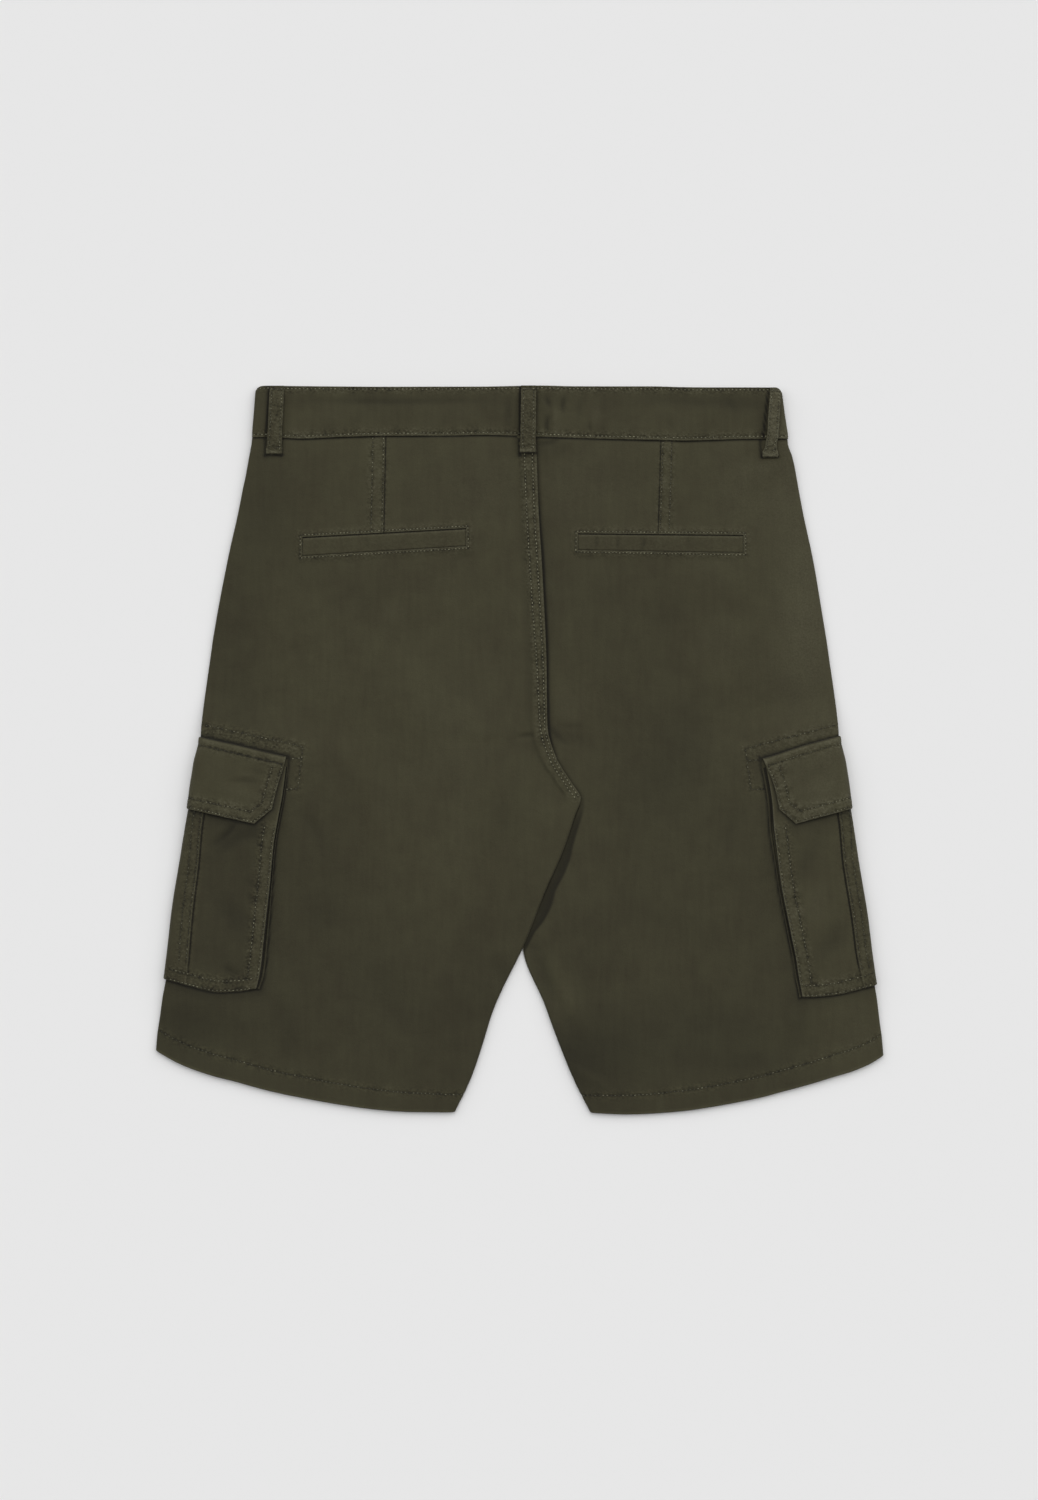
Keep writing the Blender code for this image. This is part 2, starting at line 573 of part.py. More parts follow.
def make_pocket(side, material):
    """The pocket's wall: lower face, round the outseam, upper face, then the gusset down to the leg."""
    table = (POCKET_EDGES, POCKET_EDGE_COLUMNS)
    edge_along = -column(*table, "along")
    edge = column(*table, side + "_edge")
    pleat = column(*table, side + "_pleat")
    down = np.linspace(0.0, 1.0, POCKET_ROWS)
    fold_start = LEG_HEIGHT / 2.0
    angles = np.radians(FOLD_ANGLES)

    # Each station is a kind, an amount of it, and 1 on the upper face or -1 on the lower
    stations = [("edge", share, -1.0) for share in LOWER_FACE_SHARES]
    stations += [("past_pleat", PLEAT_STEP, -1.0), ("pleat", 0.0, -1.0), ("start", 0.0, -1.0)]
    stations += [("angle", angle, 0.0) for angle in angles]
    stations += [("start", 0.0, 1.0), ("pleat", 0.0, 1.0), ("past_pleat", PLEAT_STEP, 1.0)]
    stations += [("edge", share, 1.0) for share in UPPER_FACE_SHARES]
    stations += [("rim", row, 1.0) for row in range(len(RIM))]
    bottom_share = column(POCKET_BOTTOM, POCKET_BOTTOM_COLUMNS, "across_share")
    bottom = column(POCKET_BOTTOM, POCKET_BOTTOM_COLUMNS, side + "_bottom")
    outer, inner = [], []
    for kind, amount, upward in stations:
        share = {"edge": amount, "rim": 1.0}.get(kind, 0.0)
        along = POCKET_TOP + down * (np.interp(share, bottom_share, bottom) - POCKET_TOP)
        edge_here = np.interp(-along, edge_along, edge)
        pleat_here = np.interp(-along, edge_along, pleat)
        across = {
            "edge": edge_here * amount,
            "pleat": pleat_here,
            "past_pleat": pleat_here + amount,
            "start": fold_start + 0.0 * along,
            "angle": 0.0 * along,
            "rim": edge_here,
        }[kind]
        low = POCKET_GAP + 0.0 * along
        if upward > 0:
            low = low + puff(along, across)
        high = low + CLOTH + (PLEAT_RISE if kind in ("pleat", "start", "angle") else 0.0)
        low_across = high_across = across
        if kind == "rim":
            past_edge, wall, drop = RIM[amount]
            high_across = across + past_edge
            low_across = high_across - wall
            high = high - (high - POCKET_GAP) * drop
            low = low - (low - POCKET_GAP) * drop
        angle = np.full_like(along, amount if kind == "angle" else np.nan)
        place = (angle, upward + 0.0 * along)
        outer.append(wrap(side, along, high_across, high, *place))
        inner.append(wrap(side, along, low_across, low, *place))
    make_piece(f"cargo_pocket_{side}", np.stack(outer, axis=1), np.stack(inner, axis=1), material)


def make_flap(side, material):
    """The flap: sewn along its top edge, over the pocket, with one clipped corner on each face."""
    table = (FLAP_EDGES, FLAP_EDGE_COLUMNS)
    edge_along = -column(*table, "along")
    edge = column(*table, side + "_edge")
    clip = FLAP_CLIP[side]
    down = np.array(FLAP_ROWS)
    angles = np.radians(FOLD_ANGLES)
    flat = (LEG_HEIGHT / 2.0,) + FLAP_COLUMNS + (clip,)
    stations = [("edge", 0.0, -1.0)]
    stations += [("flat", across, -1.0) for across in flat[::-1]]
    stations += [("angle", angle, 0.0) for angle in angles]
    stations += [("flat", across, 1.0) for across in flat]
    stations += [("edge", 0.0, 1.0)]
    over_pleat = POCKET_GAP + CLOTH + PLEAT_RISE + FLAP_GAP
    outer, inner = [], []
    for kind, amount, upward in stations:
        bottom = FLAP_CLIP_TOP if kind == "edge" else FLAP_BOTTOM
        along = FLAP_TOP + down * (bottom - FLAP_TOP)
        angle = np.full_like(along, amount if kind == "angle" else np.nan)
        across = np.interp(-along, edge_along, edge) if kind == "edge" else amount + 0.0 * along
        clear = ramp(-along, -FLAP_TOP, -FLAP_FOLD)
        over = over_pleat - PLEAT_RISE * ramp(across, *FLAP_OVER_FACE) * (upward > 0)
        low = POCKET_GAP + (over - POCKET_GAP) * clear
        if upward > 0 and kind != "angle":
            low = low + puff(along, across) * clear
        place = (angle, upward + 0.0 * along)
        outer.append(wrap(side, along, across, low + FLAP_CLOTH, *place))
        inner.append(wrap(side, along, across, low, *place))
    make_piece(f"cargo_flap_{side}", np.stack(outer, axis=1), np.stack(inner, axis=1), material)


def main():
    for old in list(bpy.data.objects):
        bpy.data.objects.remove(old, do_unlink=True)
    garment = bpy.data.objects.new("cargo_shorts", None)
    bpy.context.scene.collection.objects.link(garment)
    fabric = make_material("twill", FABRIC_COLOUR, 0.9)
    tape = make_material("zip_tape", TAPE_COLOUR, 0.8)
    horn = make_material("button_resin", BUTTON_COLOUR, 0.45)
    make_panels(fabric)
    make_waistband(fabric)
    make_loops(fabric)
    make_welts(fabric)
    for side in ("left", "right"):
        make_pocket(side, fabric)
        make_flap(side, fabric)
    make_zip(tape)
    make_button(horn)


main()
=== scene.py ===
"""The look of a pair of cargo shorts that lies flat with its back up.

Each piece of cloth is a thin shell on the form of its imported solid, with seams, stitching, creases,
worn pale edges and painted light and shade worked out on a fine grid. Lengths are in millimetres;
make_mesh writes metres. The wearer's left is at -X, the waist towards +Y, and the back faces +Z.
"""

import math
from collections import namedtuple

import bpy
import numpy as np
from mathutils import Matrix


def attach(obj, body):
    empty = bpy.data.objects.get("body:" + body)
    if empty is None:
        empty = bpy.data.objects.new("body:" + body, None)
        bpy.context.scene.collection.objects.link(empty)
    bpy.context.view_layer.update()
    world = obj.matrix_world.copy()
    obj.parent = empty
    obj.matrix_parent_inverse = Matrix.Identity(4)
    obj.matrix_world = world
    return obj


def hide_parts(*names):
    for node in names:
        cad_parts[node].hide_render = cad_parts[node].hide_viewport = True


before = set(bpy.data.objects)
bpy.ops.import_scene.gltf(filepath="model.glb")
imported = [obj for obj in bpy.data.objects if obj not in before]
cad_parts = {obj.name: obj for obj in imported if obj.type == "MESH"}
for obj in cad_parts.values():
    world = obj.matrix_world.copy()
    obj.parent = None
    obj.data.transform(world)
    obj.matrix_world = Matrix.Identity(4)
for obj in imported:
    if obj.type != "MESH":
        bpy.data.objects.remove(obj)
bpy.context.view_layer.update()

METRES = 0.001
BOTH = ("left", "right")
SIGN = {"left": -1, "right": 1}  # of x on each side


def table(names, *rows):
    """The rows' columns by name; the first column holds the places that the others belong to."""
    return dict(zip(names.split(), np.array(rows, float).T))


# ---- the garment's sizes

CLOTH = 1
SEAM_GAP = 0.3
LEG_HEIGHT = 4.2
FLY_ROOM = 0.75
BAND_CLOTH = 1.5
BAND_BOTTOM_Y = 242.3
BAND_TOP_Y = 283.6
BAND_HALF_WIDTHS = (208.9, 205.2)  # at the bottom and at the top
BAND_LIFT = 1.4
BAND_FOLD_RADIUS = 2.4
BAND_CENTRE_RISE = 1.4
BAND_OVERLAP = 15
BAND_CORNER = 5
# How far the band's lower and upper edges wander from straight
BAND_EDGES = table(
    "x bottom top",
    (-206, 1.4, 0.5), (-198, 1.6, 0.5), (-171, 0.3, 0.2), (-137, 1.7, -0.1), (-106, 2.5, -0.3),
    (-59, 2.6, -0.2), (-28, 3.1, -0.2), (-7, 2.6, 0.1), (17, 1.7, 0.5), (42, 0.8, 0), (73, 0, 0),
    (104, -0.7, 0), (128, -1.2, -0.6), (151, -0.7, -0.8), (175, 0, -0.8), (206, 0.2, -0.9),
)
# How far the garment's sides stand out past the even outline, on its left and on its right
SIDES = table(
    "y left right",
    (284, -0.3, -0.8), (262, -0.6, 0), (245, -0.5, 0.9), (238, -0.9, 0.5), (229, -0.8, 2.1),
    (218, -0.7, 2.6), (200, -0.1, 2.6), (150, 0.4, 2.6), (100, 0.6, 1.7), (45, 1, 2.2), (20, 0.5, 1.7),
    (0, -0.6, 0.6), (-30, -0.1, 1), (-60, 0.3, 0.9), (-100, 0.6, 0.8), (-150, 0, 0.9), (-175, 0, 1.2),
    (-195, 0.9, 2.1), (-240, 0.2, 1.2),
)
SIDE_REACH = (150, 206)
# How far the hems hang below their even line
HEMS = table(
    "x drop",
    (-282, 0.1), (-265, 1.2), (-241, 0.2), (-218, -1.4), (-190, -1.1), (-160, -1.3), (-125, -1.6),
    (-80, -1.1), (-66, -0.4), (-54, 0.7), (-42, 1.6), (0, 2.2), (46, 3), (57, 1.5), (70, 0.9),
    (104, 0.6), (140, 1.4), (185, 2), (206, 1.4), (230, 1.9), (243, 2.5), (258, 4.2), (272, 5),
    (282, 4.1),
)
HEM_REACH = (165, 235)
PANEL_INSET = 0.1
LAP_FLAT = 10.4
LAP_SLOPE_END = 14
LEG_STEP = 1.2
LEG_STEP_REACH = (42, 6)
LEG_STEP_STARTS = (-26, -62)
LEG_STEP_ENDS = (-205, -150)
WAIST_RAMP = (178, 236)
FLY_RAMP = (45, 90)
CENTRE_BUMP = (62, 10)
BOW_POWER = 2.6

# The side fold of each leg, waist to hem
OUTSEAM = table(
    "y x",
    (242.3, 208.7), (186, 219), (151, 226.5), (88, 238), (69, 240.5), (18.7, 247.3), (-12, 251),
    (-30, 253.5), (-45, 255.5), (-57, 257.5), (-92, 263), (-128, 269), (-165, 273.5), (-205, 279),
    (-222, 281.8), (-234.5, 283.2),
)

# The inner edge of each leg, waist to hem: the centre seam, and the inseam below the crotch. fold
# is how far it turns down, the laps how far the right panels reach under the left ones, and the
# rises how far the upper panel of a lap is lifted.
INNER = table(
    "y left_x right_x fold back_lap front_lap front_rise back_rise",
    (242.3, 13.3, 13.3, 0, 8, 8, 1.3, 1.3), (186, 15.4, 15.4, 0, 8, 8, 1.3, 1.3),
    (150, 17.6, 17.6, 0, 8, 8, 1.3, 1.3), (88, 20.8, 20.8, 0, 8, 8, 1.3, 1.3),
    (69, 21.5, 21.5, 0, 8, -0.2, 1.3, 1.3), (18.7, 22.2, 22.2, 0, 8, -0.2, 0, 1.3),
    (-5, 28.6, 28.6, 0, 6, -0.2, 0, 1.3), (-26, 41.3, 41.3, 0, 3, -0.1, 0, 1.3),
    (-38, 48.4, 48.4, 0.2, 1.2, 0.3, 0, 1), (-51, 43.9, 43.9, 0.8, 0.7, 0.7, 0, 0.3),
    (-79.6, 33.9, 33.9, 1, 0.7, 0.7, 0, 0), (-109.5, 20.9, 20.9, 1, 0.7, 0.7, 0, 0),
    (-153.3, 3.5, 3.5, 1, 0.4, 0.4, 0, 0), (-199.7, -19.1, 21, 1, 0, 0, 0, 0),
    (-251.7, -36.6, 41.7, 1, 0, 0, 0, 0), (-281.6, -50.2, 55.9, 1, 0, 0, 0, 0),
)

LOOP_TOP_Y = 283.4
LOOP_CLOTH = 1.2
LOOP_ARCH = 1.5
LOOP_LEAVES_BAND = (0.04, 0.25)
LOOP_MEETS_PANEL = (1, 0.8)
# Belt loops: the tape's centre line, and how far its left edge stands off
Loop = namedtuple("Loop", "name x_top x_bottom bottom_y front width narrowing left_edge_up")
LOOPS = (
    Loop("belt_loop_centre_back", 7.5, 6.8, 230.7, False, 12.3, 0.02, 0.3),
    Loop("belt_loop_back_left", -189.2, -191.8, 229.8, False, 13, 0.11, 0.3),
    Loop("belt_loop_back_right", 200.2, 194, 228.8, False, 12, 0.25, 2.3),
    Loop("belt_loop_front_left", -112, -114, 231.5, True, 11.7, 0, 0),
    Loop("belt_loop_front_right", 128, 130, 231.5, True, 11.7, 0, 0),
)
BACK_LOOPS = [loop for loop in LOOPS if not loop.front]

# The welts' left and right ends, and the heights of their corners
Welt = namedtuple("Welt", "x_left x_right top_left top_right bottom_left bottom_right")
WELTS = {
    "left": Welt(-169, -41.3, 166, 173, 151.4, 159),
    "right": Welt(46, 174, 168.9, 167.7, 156, 153.7),
}

# Darts: x of the seam at the waist and at the welt, and the width of the stitched strip
DARTS = {"left": (-104.5, -106.1, 9.4), "right": (111.3, 109.2, 8)}

# Cargo pockets. Along is the distance down the outseam, as the y of the point where a row leaves
# it; across is the distance from the outseam along that row, which slopes down inwards.
POCKET_SLOPES = {"left": 12.5, "right": 15}
POCKET_GAP = 0.4
PLEAT_RISE = 0.9
POCKET_TOP = 2
POCKET_PUFF = 2.2
PUFF_STARTS = (0, -45)
PUFF_WANES = (-172, -120)
PUFF_ENDS = (-176, -150)
PUFF_ACROSS = (14, 52)
PUFF_AT_TOP = 0.25
POCKET_EDGES = table(
    "along left_edge right_edge left_pleat right_pleat",
    (11, 69, 60, 10.5, 8), (-20, 69.4, 58.5, 10.5, 8), (-49, 68.4, 60, 10.5, 8),
    (-89, 70.6, 61, 13, 10), (-126, 72.2, 60, 14.3, 10.2), (-150, 72.6, 58.4, 15, 10.2),
    (-184, 70.6, 58, 16.4, 8.4),
)
POCKET_BOTTOM = table(
    "share left right",
    (0, -179, -183), (0.5, -180.5, -182.4), (0.8, -176.5, -180), (1, -171, -177.2),
)
# The upper face's edge and the gusset outside it: how far past the edge, and the height as a share
# of the face's height above the leg
RIM = (
    (-1, 0.99), (-0.5, 0.93), (-0.15, 0.78), (0.05, 0.55), (0.2, 0.25), (0.5, 0.08), (1.1, 0.04),
    (1.8, 0.12), (2.4, 0.3), (2.9, 0.33), (3.3, 0.2), (3.5, 0),
)
RIM_FOOT = 0.15  # the rim's least height above the leg, and its least thickness
FLAP_GAP = 0.4
FLAP_TOP = 11
FLAP_SEWN_ROW = 4.4
FLAP_BOTTOM = -46.4
FLAP_CLIP_TOP = -32.3
FLAP_CLIP = {"left": 51, "right": 42.5}
FLAP_OVER_FACE = (26, 36)
FLAP_EDGES = table(
    "along left right",
    (11, 68.4, 61.2), (1, 67.2, 58.6), (-9, 65.4, 56), (-21, 64, 54.6), (-32.3, 63.2, 53.9),
)
LIFT_FADE = (165, 78)
LIFT_ABOVE_FLAP = (49, 15)
LIFT_BELOW_FLAP = (-88, -52)
LIFT_BELOW_POCKET = (-218, -186)

# ---- curves and unevenness


def ramp(value, start, end):
    """A smooth step, 3t2 - 2t3 of the share t from start to end: 0 before, 1 past it. It falls
    along the value where start lies above end."""
    share = np.clip((np.asarray(value, float) - start) / (end - start), 0, 1)
    return share * share * (3 - 2 * share)


def smooth_curve(at, places, values):
    """A monotone cubic through (places, values): Hermite pieces, each joint's slope the harmonic mean
    of its two chords, or 0 where they turn. It goes on straight past both ends."""
    places, values, at = (np.asarray(array, float) for array in (places, values, at))
    width = np.diff(places)
    chord = np.diff(values) / width
    product = chord[:-1] * chord[1:]
    joint = np.where(product > 0, 2 * product / (chord[:-1] + chord[1:] + 1e-30), 0)
    slope = np.concatenate([chord[:1], joint, chord[-1:]])
    inside = np.clip(at, places[0], places[-1])
    k = np.clip(np.searchsorted(places, inside, side="right") - 1, 0, len(width) - 1)
    t = (inside - places[k]) / width[k]
    start = (1 + 2 * t) * (1 - t) ** 2 * values[k] + t * (1 - t) ** 2 * width[k] * slope[k]
    end = t * t * (3 - 2 * t) * values[k + 1] - t * t * (1 - t) * width[k] * slope[k + 1]
    ends = np.where(at < places[0], slope[0], slope[-1])
    return start + end + ends * (at - inside)


def curve(columns, name, at, clamped=False):
    """A table's column at a place, by smooth_curve; its places may rise or fall down the table."""
    places = next(iter(columns.values()))
    way = np.sign(places[-1] - places[0])
    at = way * np.asarray(at, float)
    if clamped:
        at = np.clip(at, way * places[0], way * places[-1])
    return smooth_curve(at, way * places, columns[name])


def outseam_x(y):
    """Half the garment's width between the side folds at this y."""
    return curve(OUTSEAM, "x", y)


def inner(y, name):
    """A column of INNER at this y."""
    return curve(INNER, name, y)


def inner_x(y, side):
    return inner(y, side + "_x")


def band_rise(x, edge):
    """How far the band's "bottom" or "top" edge lies above its straight line at this x."""
    return curve(BAND_EDGES, edge, x, clamped=True)


def lopsided(points):
    """The points moved from the even outline to the uneven one, less and less towards the middle."""
    x, y, z = points.T
    left, right = (curve(SIDES, side, y, clamped=True) for side in BOTH)
    moved = right * ramp(x, *SIDE_REACH) - left * ramp(-x, *SIDE_REACH)
    return stacked(x + moved, y - curve(HEMS, "drop", x) * ramp(-y, *HEM_REACH), z)


def bell(offset, width):
    """A Gaussian: 1 at offset 0, falling to 1/e at the width."""
    return np.exp(-((offset / width) ** 2))


def rounded(distance, radius):
    """A quarter circle: 0 at an edge, and 1 from its radius inwards."""
    return np.sqrt(1 - np.clip(1 - distance / radius, 0, 1) ** 2)


def stacked(*axes):
    """Arrays of coordinates side by side, as points, or wear beside gathering for make_mesh."""
    return np.stack(np.broadcast_arrays(*axes), axis=-1)


def unit(vectors):
    return vectors / np.linalg.norm(vectors, axis=-1, keepdims=True)


POINTS_AT_ONCE = 4000  # how many points are measured against a path together
NOISE_SIDE = 64  # the plane noise repeats after so many lengths, the line noise after its square
NOISE_START = 512  # the lengths from the noise's first value to place 0


def random_values(seed, count=NOISE_SIDE**2):
    return np.random.default_rng(seed).uniform(-1, 1, count)


def unevenness_1d(place, length, seed):
    """Smooth noise of -1 to 1 on a line: a random value every length, eased from one to the next."""
    values = random_values(seed)
    share = np.asarray(place, float) / length + NOISE_START
    k = np.floor(share).astype(int)
    t = ramp(share - k, 0, 1)
    return values[k % len(values)] * (1 - t) + values[(k + 1) % len(values)] * t


def unevenness(x, y, length, seed):
    """Smooth noise of -1 to 1 on a plane: random values at a square grid's corners, eased both ways."""
    values = random_values(seed).reshape(NOISE_SIDE, NOISE_SIDE)
    a, b = (np.asarray(axis, float) / length + NOISE_START for axis in (x, y))
    i, j = np.floor(a).astype(int), np.floor(b).astype(int)
    s, t = ramp(a - i, 0, 1), ramp(b - j, 0, 1)
    i0, i1, j0, j1 = (k % NOISE_SIDE for k in (i, i + 1, j, j + 1))
    low = values[i0, j0] * (1 - s) + values[i1, j0] * s
    high = values[i0, j1] * (1 - s) + values[i1, j1] * s
    return low * (1 - t) + high * t


def lengths_along(points):
    """The distance along a line of points, from 0 at its first."""
    step = np.linalg.norm(np.diff(points, axis=0), axis=1)
    return np.concatenate([[0], np.cumsum(step)])


def points_at(place, length, points):
    """The points of a line at places along it, by the lengths at which its own points lie."""
    return stacked(*(np.interp(place, length, axis) for axis in points.T))


def resampled(points, spacing=1.5):
    """The line's points again, evenly spaced along it."""
    points = np.asarray(points, float)
    length = lengths_along(points)
    count = max(int(math.ceil(length[-1] / spacing)), 2)
    return points_at(np.linspace(0, length[-1], count + 1), length, points)


def route(points, spacing=1.5):
    """An even line along the smooth curve whose coordinates are monotone cubics of chord length."""
    points = np.array(points, float)
    length = lengths_along(points)
    at = np.linspace(0, length[-1], 20 * len(points))
    return resampled(stacked(*(smooth_curve(at, length, axis) for axis in points.T)), spacing)


def inset(points, distance):
    """The line moved to its left by distance, with mitred corners."""
    step = unit(np.diff(points, axis=0))
    left = stacked(-step[:, 1], step[:, 0])
    before, after = np.concatenate([left[:1], left]), np.concatenate([left, left[-1:]])
    return points + distance * (before + after) / (1 + (before * after).sum(-1, keepdims=True))


def beside(path, x, y, reach):
    """The points within reach of a path: their indices, distance to its left, and place along it.

    Each point is measured from the nearest sample of the path, across and along that sample's
    direction; past the path's ends the distance is the straight one.
    """
    x, y = np.ravel(x), np.ravel(y)
    low, high = path.min(0) - reach, path.max(0) + reach
    index = np.flatnonzero((x > low[0]) & (x < high[0]) & (y > low[1]) & (y < high[1]))
    nearest = np.zeros(len(index), int)
    for start in range(0, len(index), POINTS_AT_ONCE):
        part = index[start:start + POINTS_AT_ONCE]
        apart = (x[part, None] - path[:, 0]) ** 2 + (y[part, None] - path[:, 1]) ** 2
        nearest[start:start + POINTS_AT_ONCE] = np.argmin(apart, axis=1)
    off_x, off_y = x[index] - path[nearest, 0], y[index] - path[nearest, 1]
    tangent_x, tangent_y = unit(np.gradient(path, axis=0))[nearest].T
    forward = off_x * tangent_x + off_y * tangent_y
    left = off_y * tangent_x - off_x * tangent_y
    past = ((nearest == 0) & (forward < 0)) | ((nearest == len(path) - 1) & (forward > 0))
    left = np.where(past, np.hypot(left, forward), left)
    place = lengths_along(path)[nearest] + np.where(past, 0, forward)
    keep = np.abs(left) < reach
    return index[keep], left[keep], place[keep]


# ---- meshes


def make_mesh(name, points, faces, material, uv=None, wear=None, smooth_angle=50):
    """A mesh object from points in mm and arrays of corner indices, its closed shell facing out."""
    if signed_volume(points, faces) < 0:
        faces = [array[:, ::-1] for array in faces]
    corners = np.concatenate([array.ravel() for array in faces]).astype(np.int32)
    sizes = np.concatenate([np.full(len(array), array.shape[1]) for array in faces])
    starts = np.concatenate([[0], np.cumsum(sizes)[:-1]]).astype(np.int32)
    mesh = bpy.data.meshes.new(name)
    mesh.vertices.add(len(points))
    mesh.vertices.foreach_set("co", (lopsided(points) * METRES).astype(np.float32).ravel())
    mesh.loops.add(len(corners))
    mesh.loops.foreach_set("vertex_index", corners)
    mesh.polygons.add(len(sizes))
    mesh.polygons.foreach_set("loop_start", starts)
    mesh.update(calc_edges=True)
    mesh.validate()
    if uv is not None:
        layer = mesh.uv_layers.new(name="cloth")
        layer.data.foreach_set("uv", (uv[corners] * METRES).astype(np.float32).ravel())
    if wear is not None:
        # wear: worn paleness, painted light and painted shade
        for name, amount in zip(("wear", "gather"), wear.reshape(-1, 2).T):
            attribute = mesh.attributes.new(name, "FLOAT", "POINT")
            attribute.data.foreach_set("value", amount.astype(np.float32))
    mesh.shade_smooth()
    mesh.set_sharp_from_angle(angle=math.radians(smooth_angle))
    mesh.materials.append(material)
    return add_object(mesh.name, mesh)


def signed_volume(points, faces):
    """Six times the volume inside, from each face's fan of triangles; negative if it faces inwards."""
    middle = points.mean(0)
    total = 0
    for array in faces:
        first = points[array[:, 0]] - middle
        for k in range(1, array.shape[1] - 1):
            second, third = points[array[:, k]] - middle, points[array[:, k + 1]] - middle
            total += np.einsum("ij,ij->", first, np.cross(second, third))
    return total


def quads(a, b, c, d):
    return stacked(a, b, c, d).reshape(-1, 4)


def grid_faces(grid):
    return quads(grid[:-1, :-1], grid[:-1, 1:], grid[1:, 1:], grid[1:, :-1])


def joined_round(grid):
    """A grid of indices whose last column is its first again."""
    return np.concatenate([grid, grid[:, :1]], axis=1)


def thinned(count, step):
    """Every step-th index from 0 to count - 1, both ends included."""
    return np.unique(np.concatenate([np.arange(0, count, step), [count - 1]]))


def joining_faces(fine, coarse, at):
    """Triangles between a fine border and a coarse one, whose corners lie opposite fine[at].

    Each fine edge runs to the coarse corner nearest to it, and each coarse edge to the fine corner
    in its middle.
    """
    split = (at[:-1] + at[1:] + 1) // 2
    nearest = np.searchsorted(split, np.arange(len(fine) - 1), side="right")
    fans = stacked(fine[:-1], fine[1:], coarse[nearest])
    gaps = stacked(coarse[1:], coarse[:-1], fine[split])
    return np.concatenate([fans, gaps])


def make_shell(name, outside, inside, material, wear, uv=None, step=4):
    """A closed wall: a fine outside grid, an inside grid thinned to every step-th line, and rims."""
    rows, columns = outside.shape[:2]
    grid = np.arange(rows * columns).reshape(rows, columns)
    kept_rows, kept_columns = thinned(rows, step), thinned(columns, step)
    kept = np.ix_(kept_rows, kept_columns)
    under = rows * columns + np.arange(grid[kept].size).reshape(grid[kept].shape)
    faces = [
        grid_faces(grid),
        grid_faces(under)[:, ::-1],
        joining_faces(grid[0], under[0], kept_columns)[:, ::-1],
        joining_faces(grid[-1], under[-1], kept_columns),
        joining_faces(grid[:, 0], under[:, 0], kept_rows),
        joining_faces(grid[:, -1], under[:, -1], kept_rows)[:, ::-1],
    ]
    uv = outside[..., :2] if uv is None else uv
    points, uv, wear = (
        np.concatenate([over.reshape(-1, over.shape[-1]), below[kept].reshape(-1, over.shape[-1])])
        for over, below in ((outside, inside), (uv, uv), (wear, 0 * wear))
    )
    return make_mesh(name, points, faces, material, uv, wear)


def carry_profile(name, points, material, uv, wear):
    """A solid from a closed profile at each station, (stations, profile, 3), with flat ends."""
    stations, around = points.shape[:2]
    grid = np.arange(stations * around).reshape(stations, around)
    faces = [grid_faces(joined_round(grid)), grid[:1, ::-1], grid[-1:]]
    return make_mesh(name, points.reshape(-1, 3), faces, material, uv.reshape(-1, 2), wear)


# Where a grid needs close lines: offsets from a crisp line, in mm
CLOSE_LINES = (0.3, 0.7, 1.2, 1.9, 2.8)


def spaced(length, spacing, crisp_start, crisp_end):
    """Shares from 0 up to 1 along a stretch, close beside a crisp end and even elsewhere."""
    near = np.array(CLOSE_LINES) / length
    first = near if crisp_start else near[:0]
    last = 1 - near[::-1] if crisp_end else near[:0]
    fixed = np.concatenate([[0], first, last, [1]])
    gaps = np.diff(fixed)
    counts = np.maximum(np.ceil(gaps * length / spacing).astype(int), 1)
    parts = [start + gap * np.arange(n) / n for start, gap, n in zip(fixed, gaps, counts)]
    return np.concatenate(parts)


def grid_lines(lengths, crisp, spacing):
    """Grid lines through a row of marks, as the mark's index plus a share of the way to the next."""
    parts = [k + spaced(length, spacing, *crisp[k:k + 2]) for k, length in enumerate(lengths)]
    return np.concatenate([*parts, [len(lengths)]])


# ---- the form of the two legs


def pocket_lift(x, y):
    """How far the pocket and flap under the front panel hold it off the ground."""
    inward = outseam_x(y) - np.abs(x)
    along = y + inward * math.tan(math.radians(sum(POCKET_SLOPES.values()) / 2))
    above = ramp(along, *LIFT_ABOVE_FLAP)
    pocket = ramp(along, *LIFT_BELOW_POCKET) * above
    flap = ramp(along, *LIFT_BELOW_FLAP) * above
    stack = (CLOTH + POCKET_GAP + PLEAT_RISE) * pocket + (CLOTH + FLAP_GAP) * flap
    return stack * ramp(inward, *LIFT_FADE)


def inseam_zone(y):
    """1 from the crotch to where the legs part, 0 elsewhere."""
    return ramp(y, *LEG_STEP_STARTS) * ramp(y, *LEG_STEP_ENDS)


def centre_bump(x, y):
    """1 over the button and fly at the waist, and 0 away to both sides."""
    return ramp(np.abs(x - inner_x(y, "left")), *CENTRE_BUMP)


def front_under(x, y, side):
    """The underside of the front panels: 0 where they lie on the ground."""
    waist = BAND_LIFT + PANEL_INSET + BAND_CENTRE_RISE * centre_bump(x, y)
    lift = waist * ramp(y, *WAIST_RAMP) + pocket_lift(x, y)
    if side == "left":
        inward = inner_x(y, side) - x
        lift += LEG_STEP * inseam_zone(y) * ramp(inward, *LEG_STEP_REACH)
    return lift


def leg_height(x, y, side):
    """The thickness of the flattened leg, outside to outside."""
    height = LEG_HEIGHT + FLY_ROOM * centre_bump(x, y) * ramp(y, *FLY_RAMP)
    if side == "right":
        inward = x - inner_x(y, side)
        height -= LEG_STEP * inseam_zone(y) * ramp(inward, *LEG_STEP_REACH)
    return height


def back_top(x, y, side):
    """The upper side of the back panels, without the rise of their lap."""
    return front_under(x, y, side) + leg_height(x, y, side)


# ---- relief: rows, creases, seams

# A row of stitches: its path, a seed and the strength of its gathering, its thread's painted shade
# (below 0 where the row is sunk, above 0 for a paler thread), and its pitch. A row that isn't sewn
# only crumples the cloth.
STITCH_PITCH = 3.1
Row = namedtuple("Row", "path seed strength shade pitch sewn", defaults=(0, STITCH_PITCH, True))
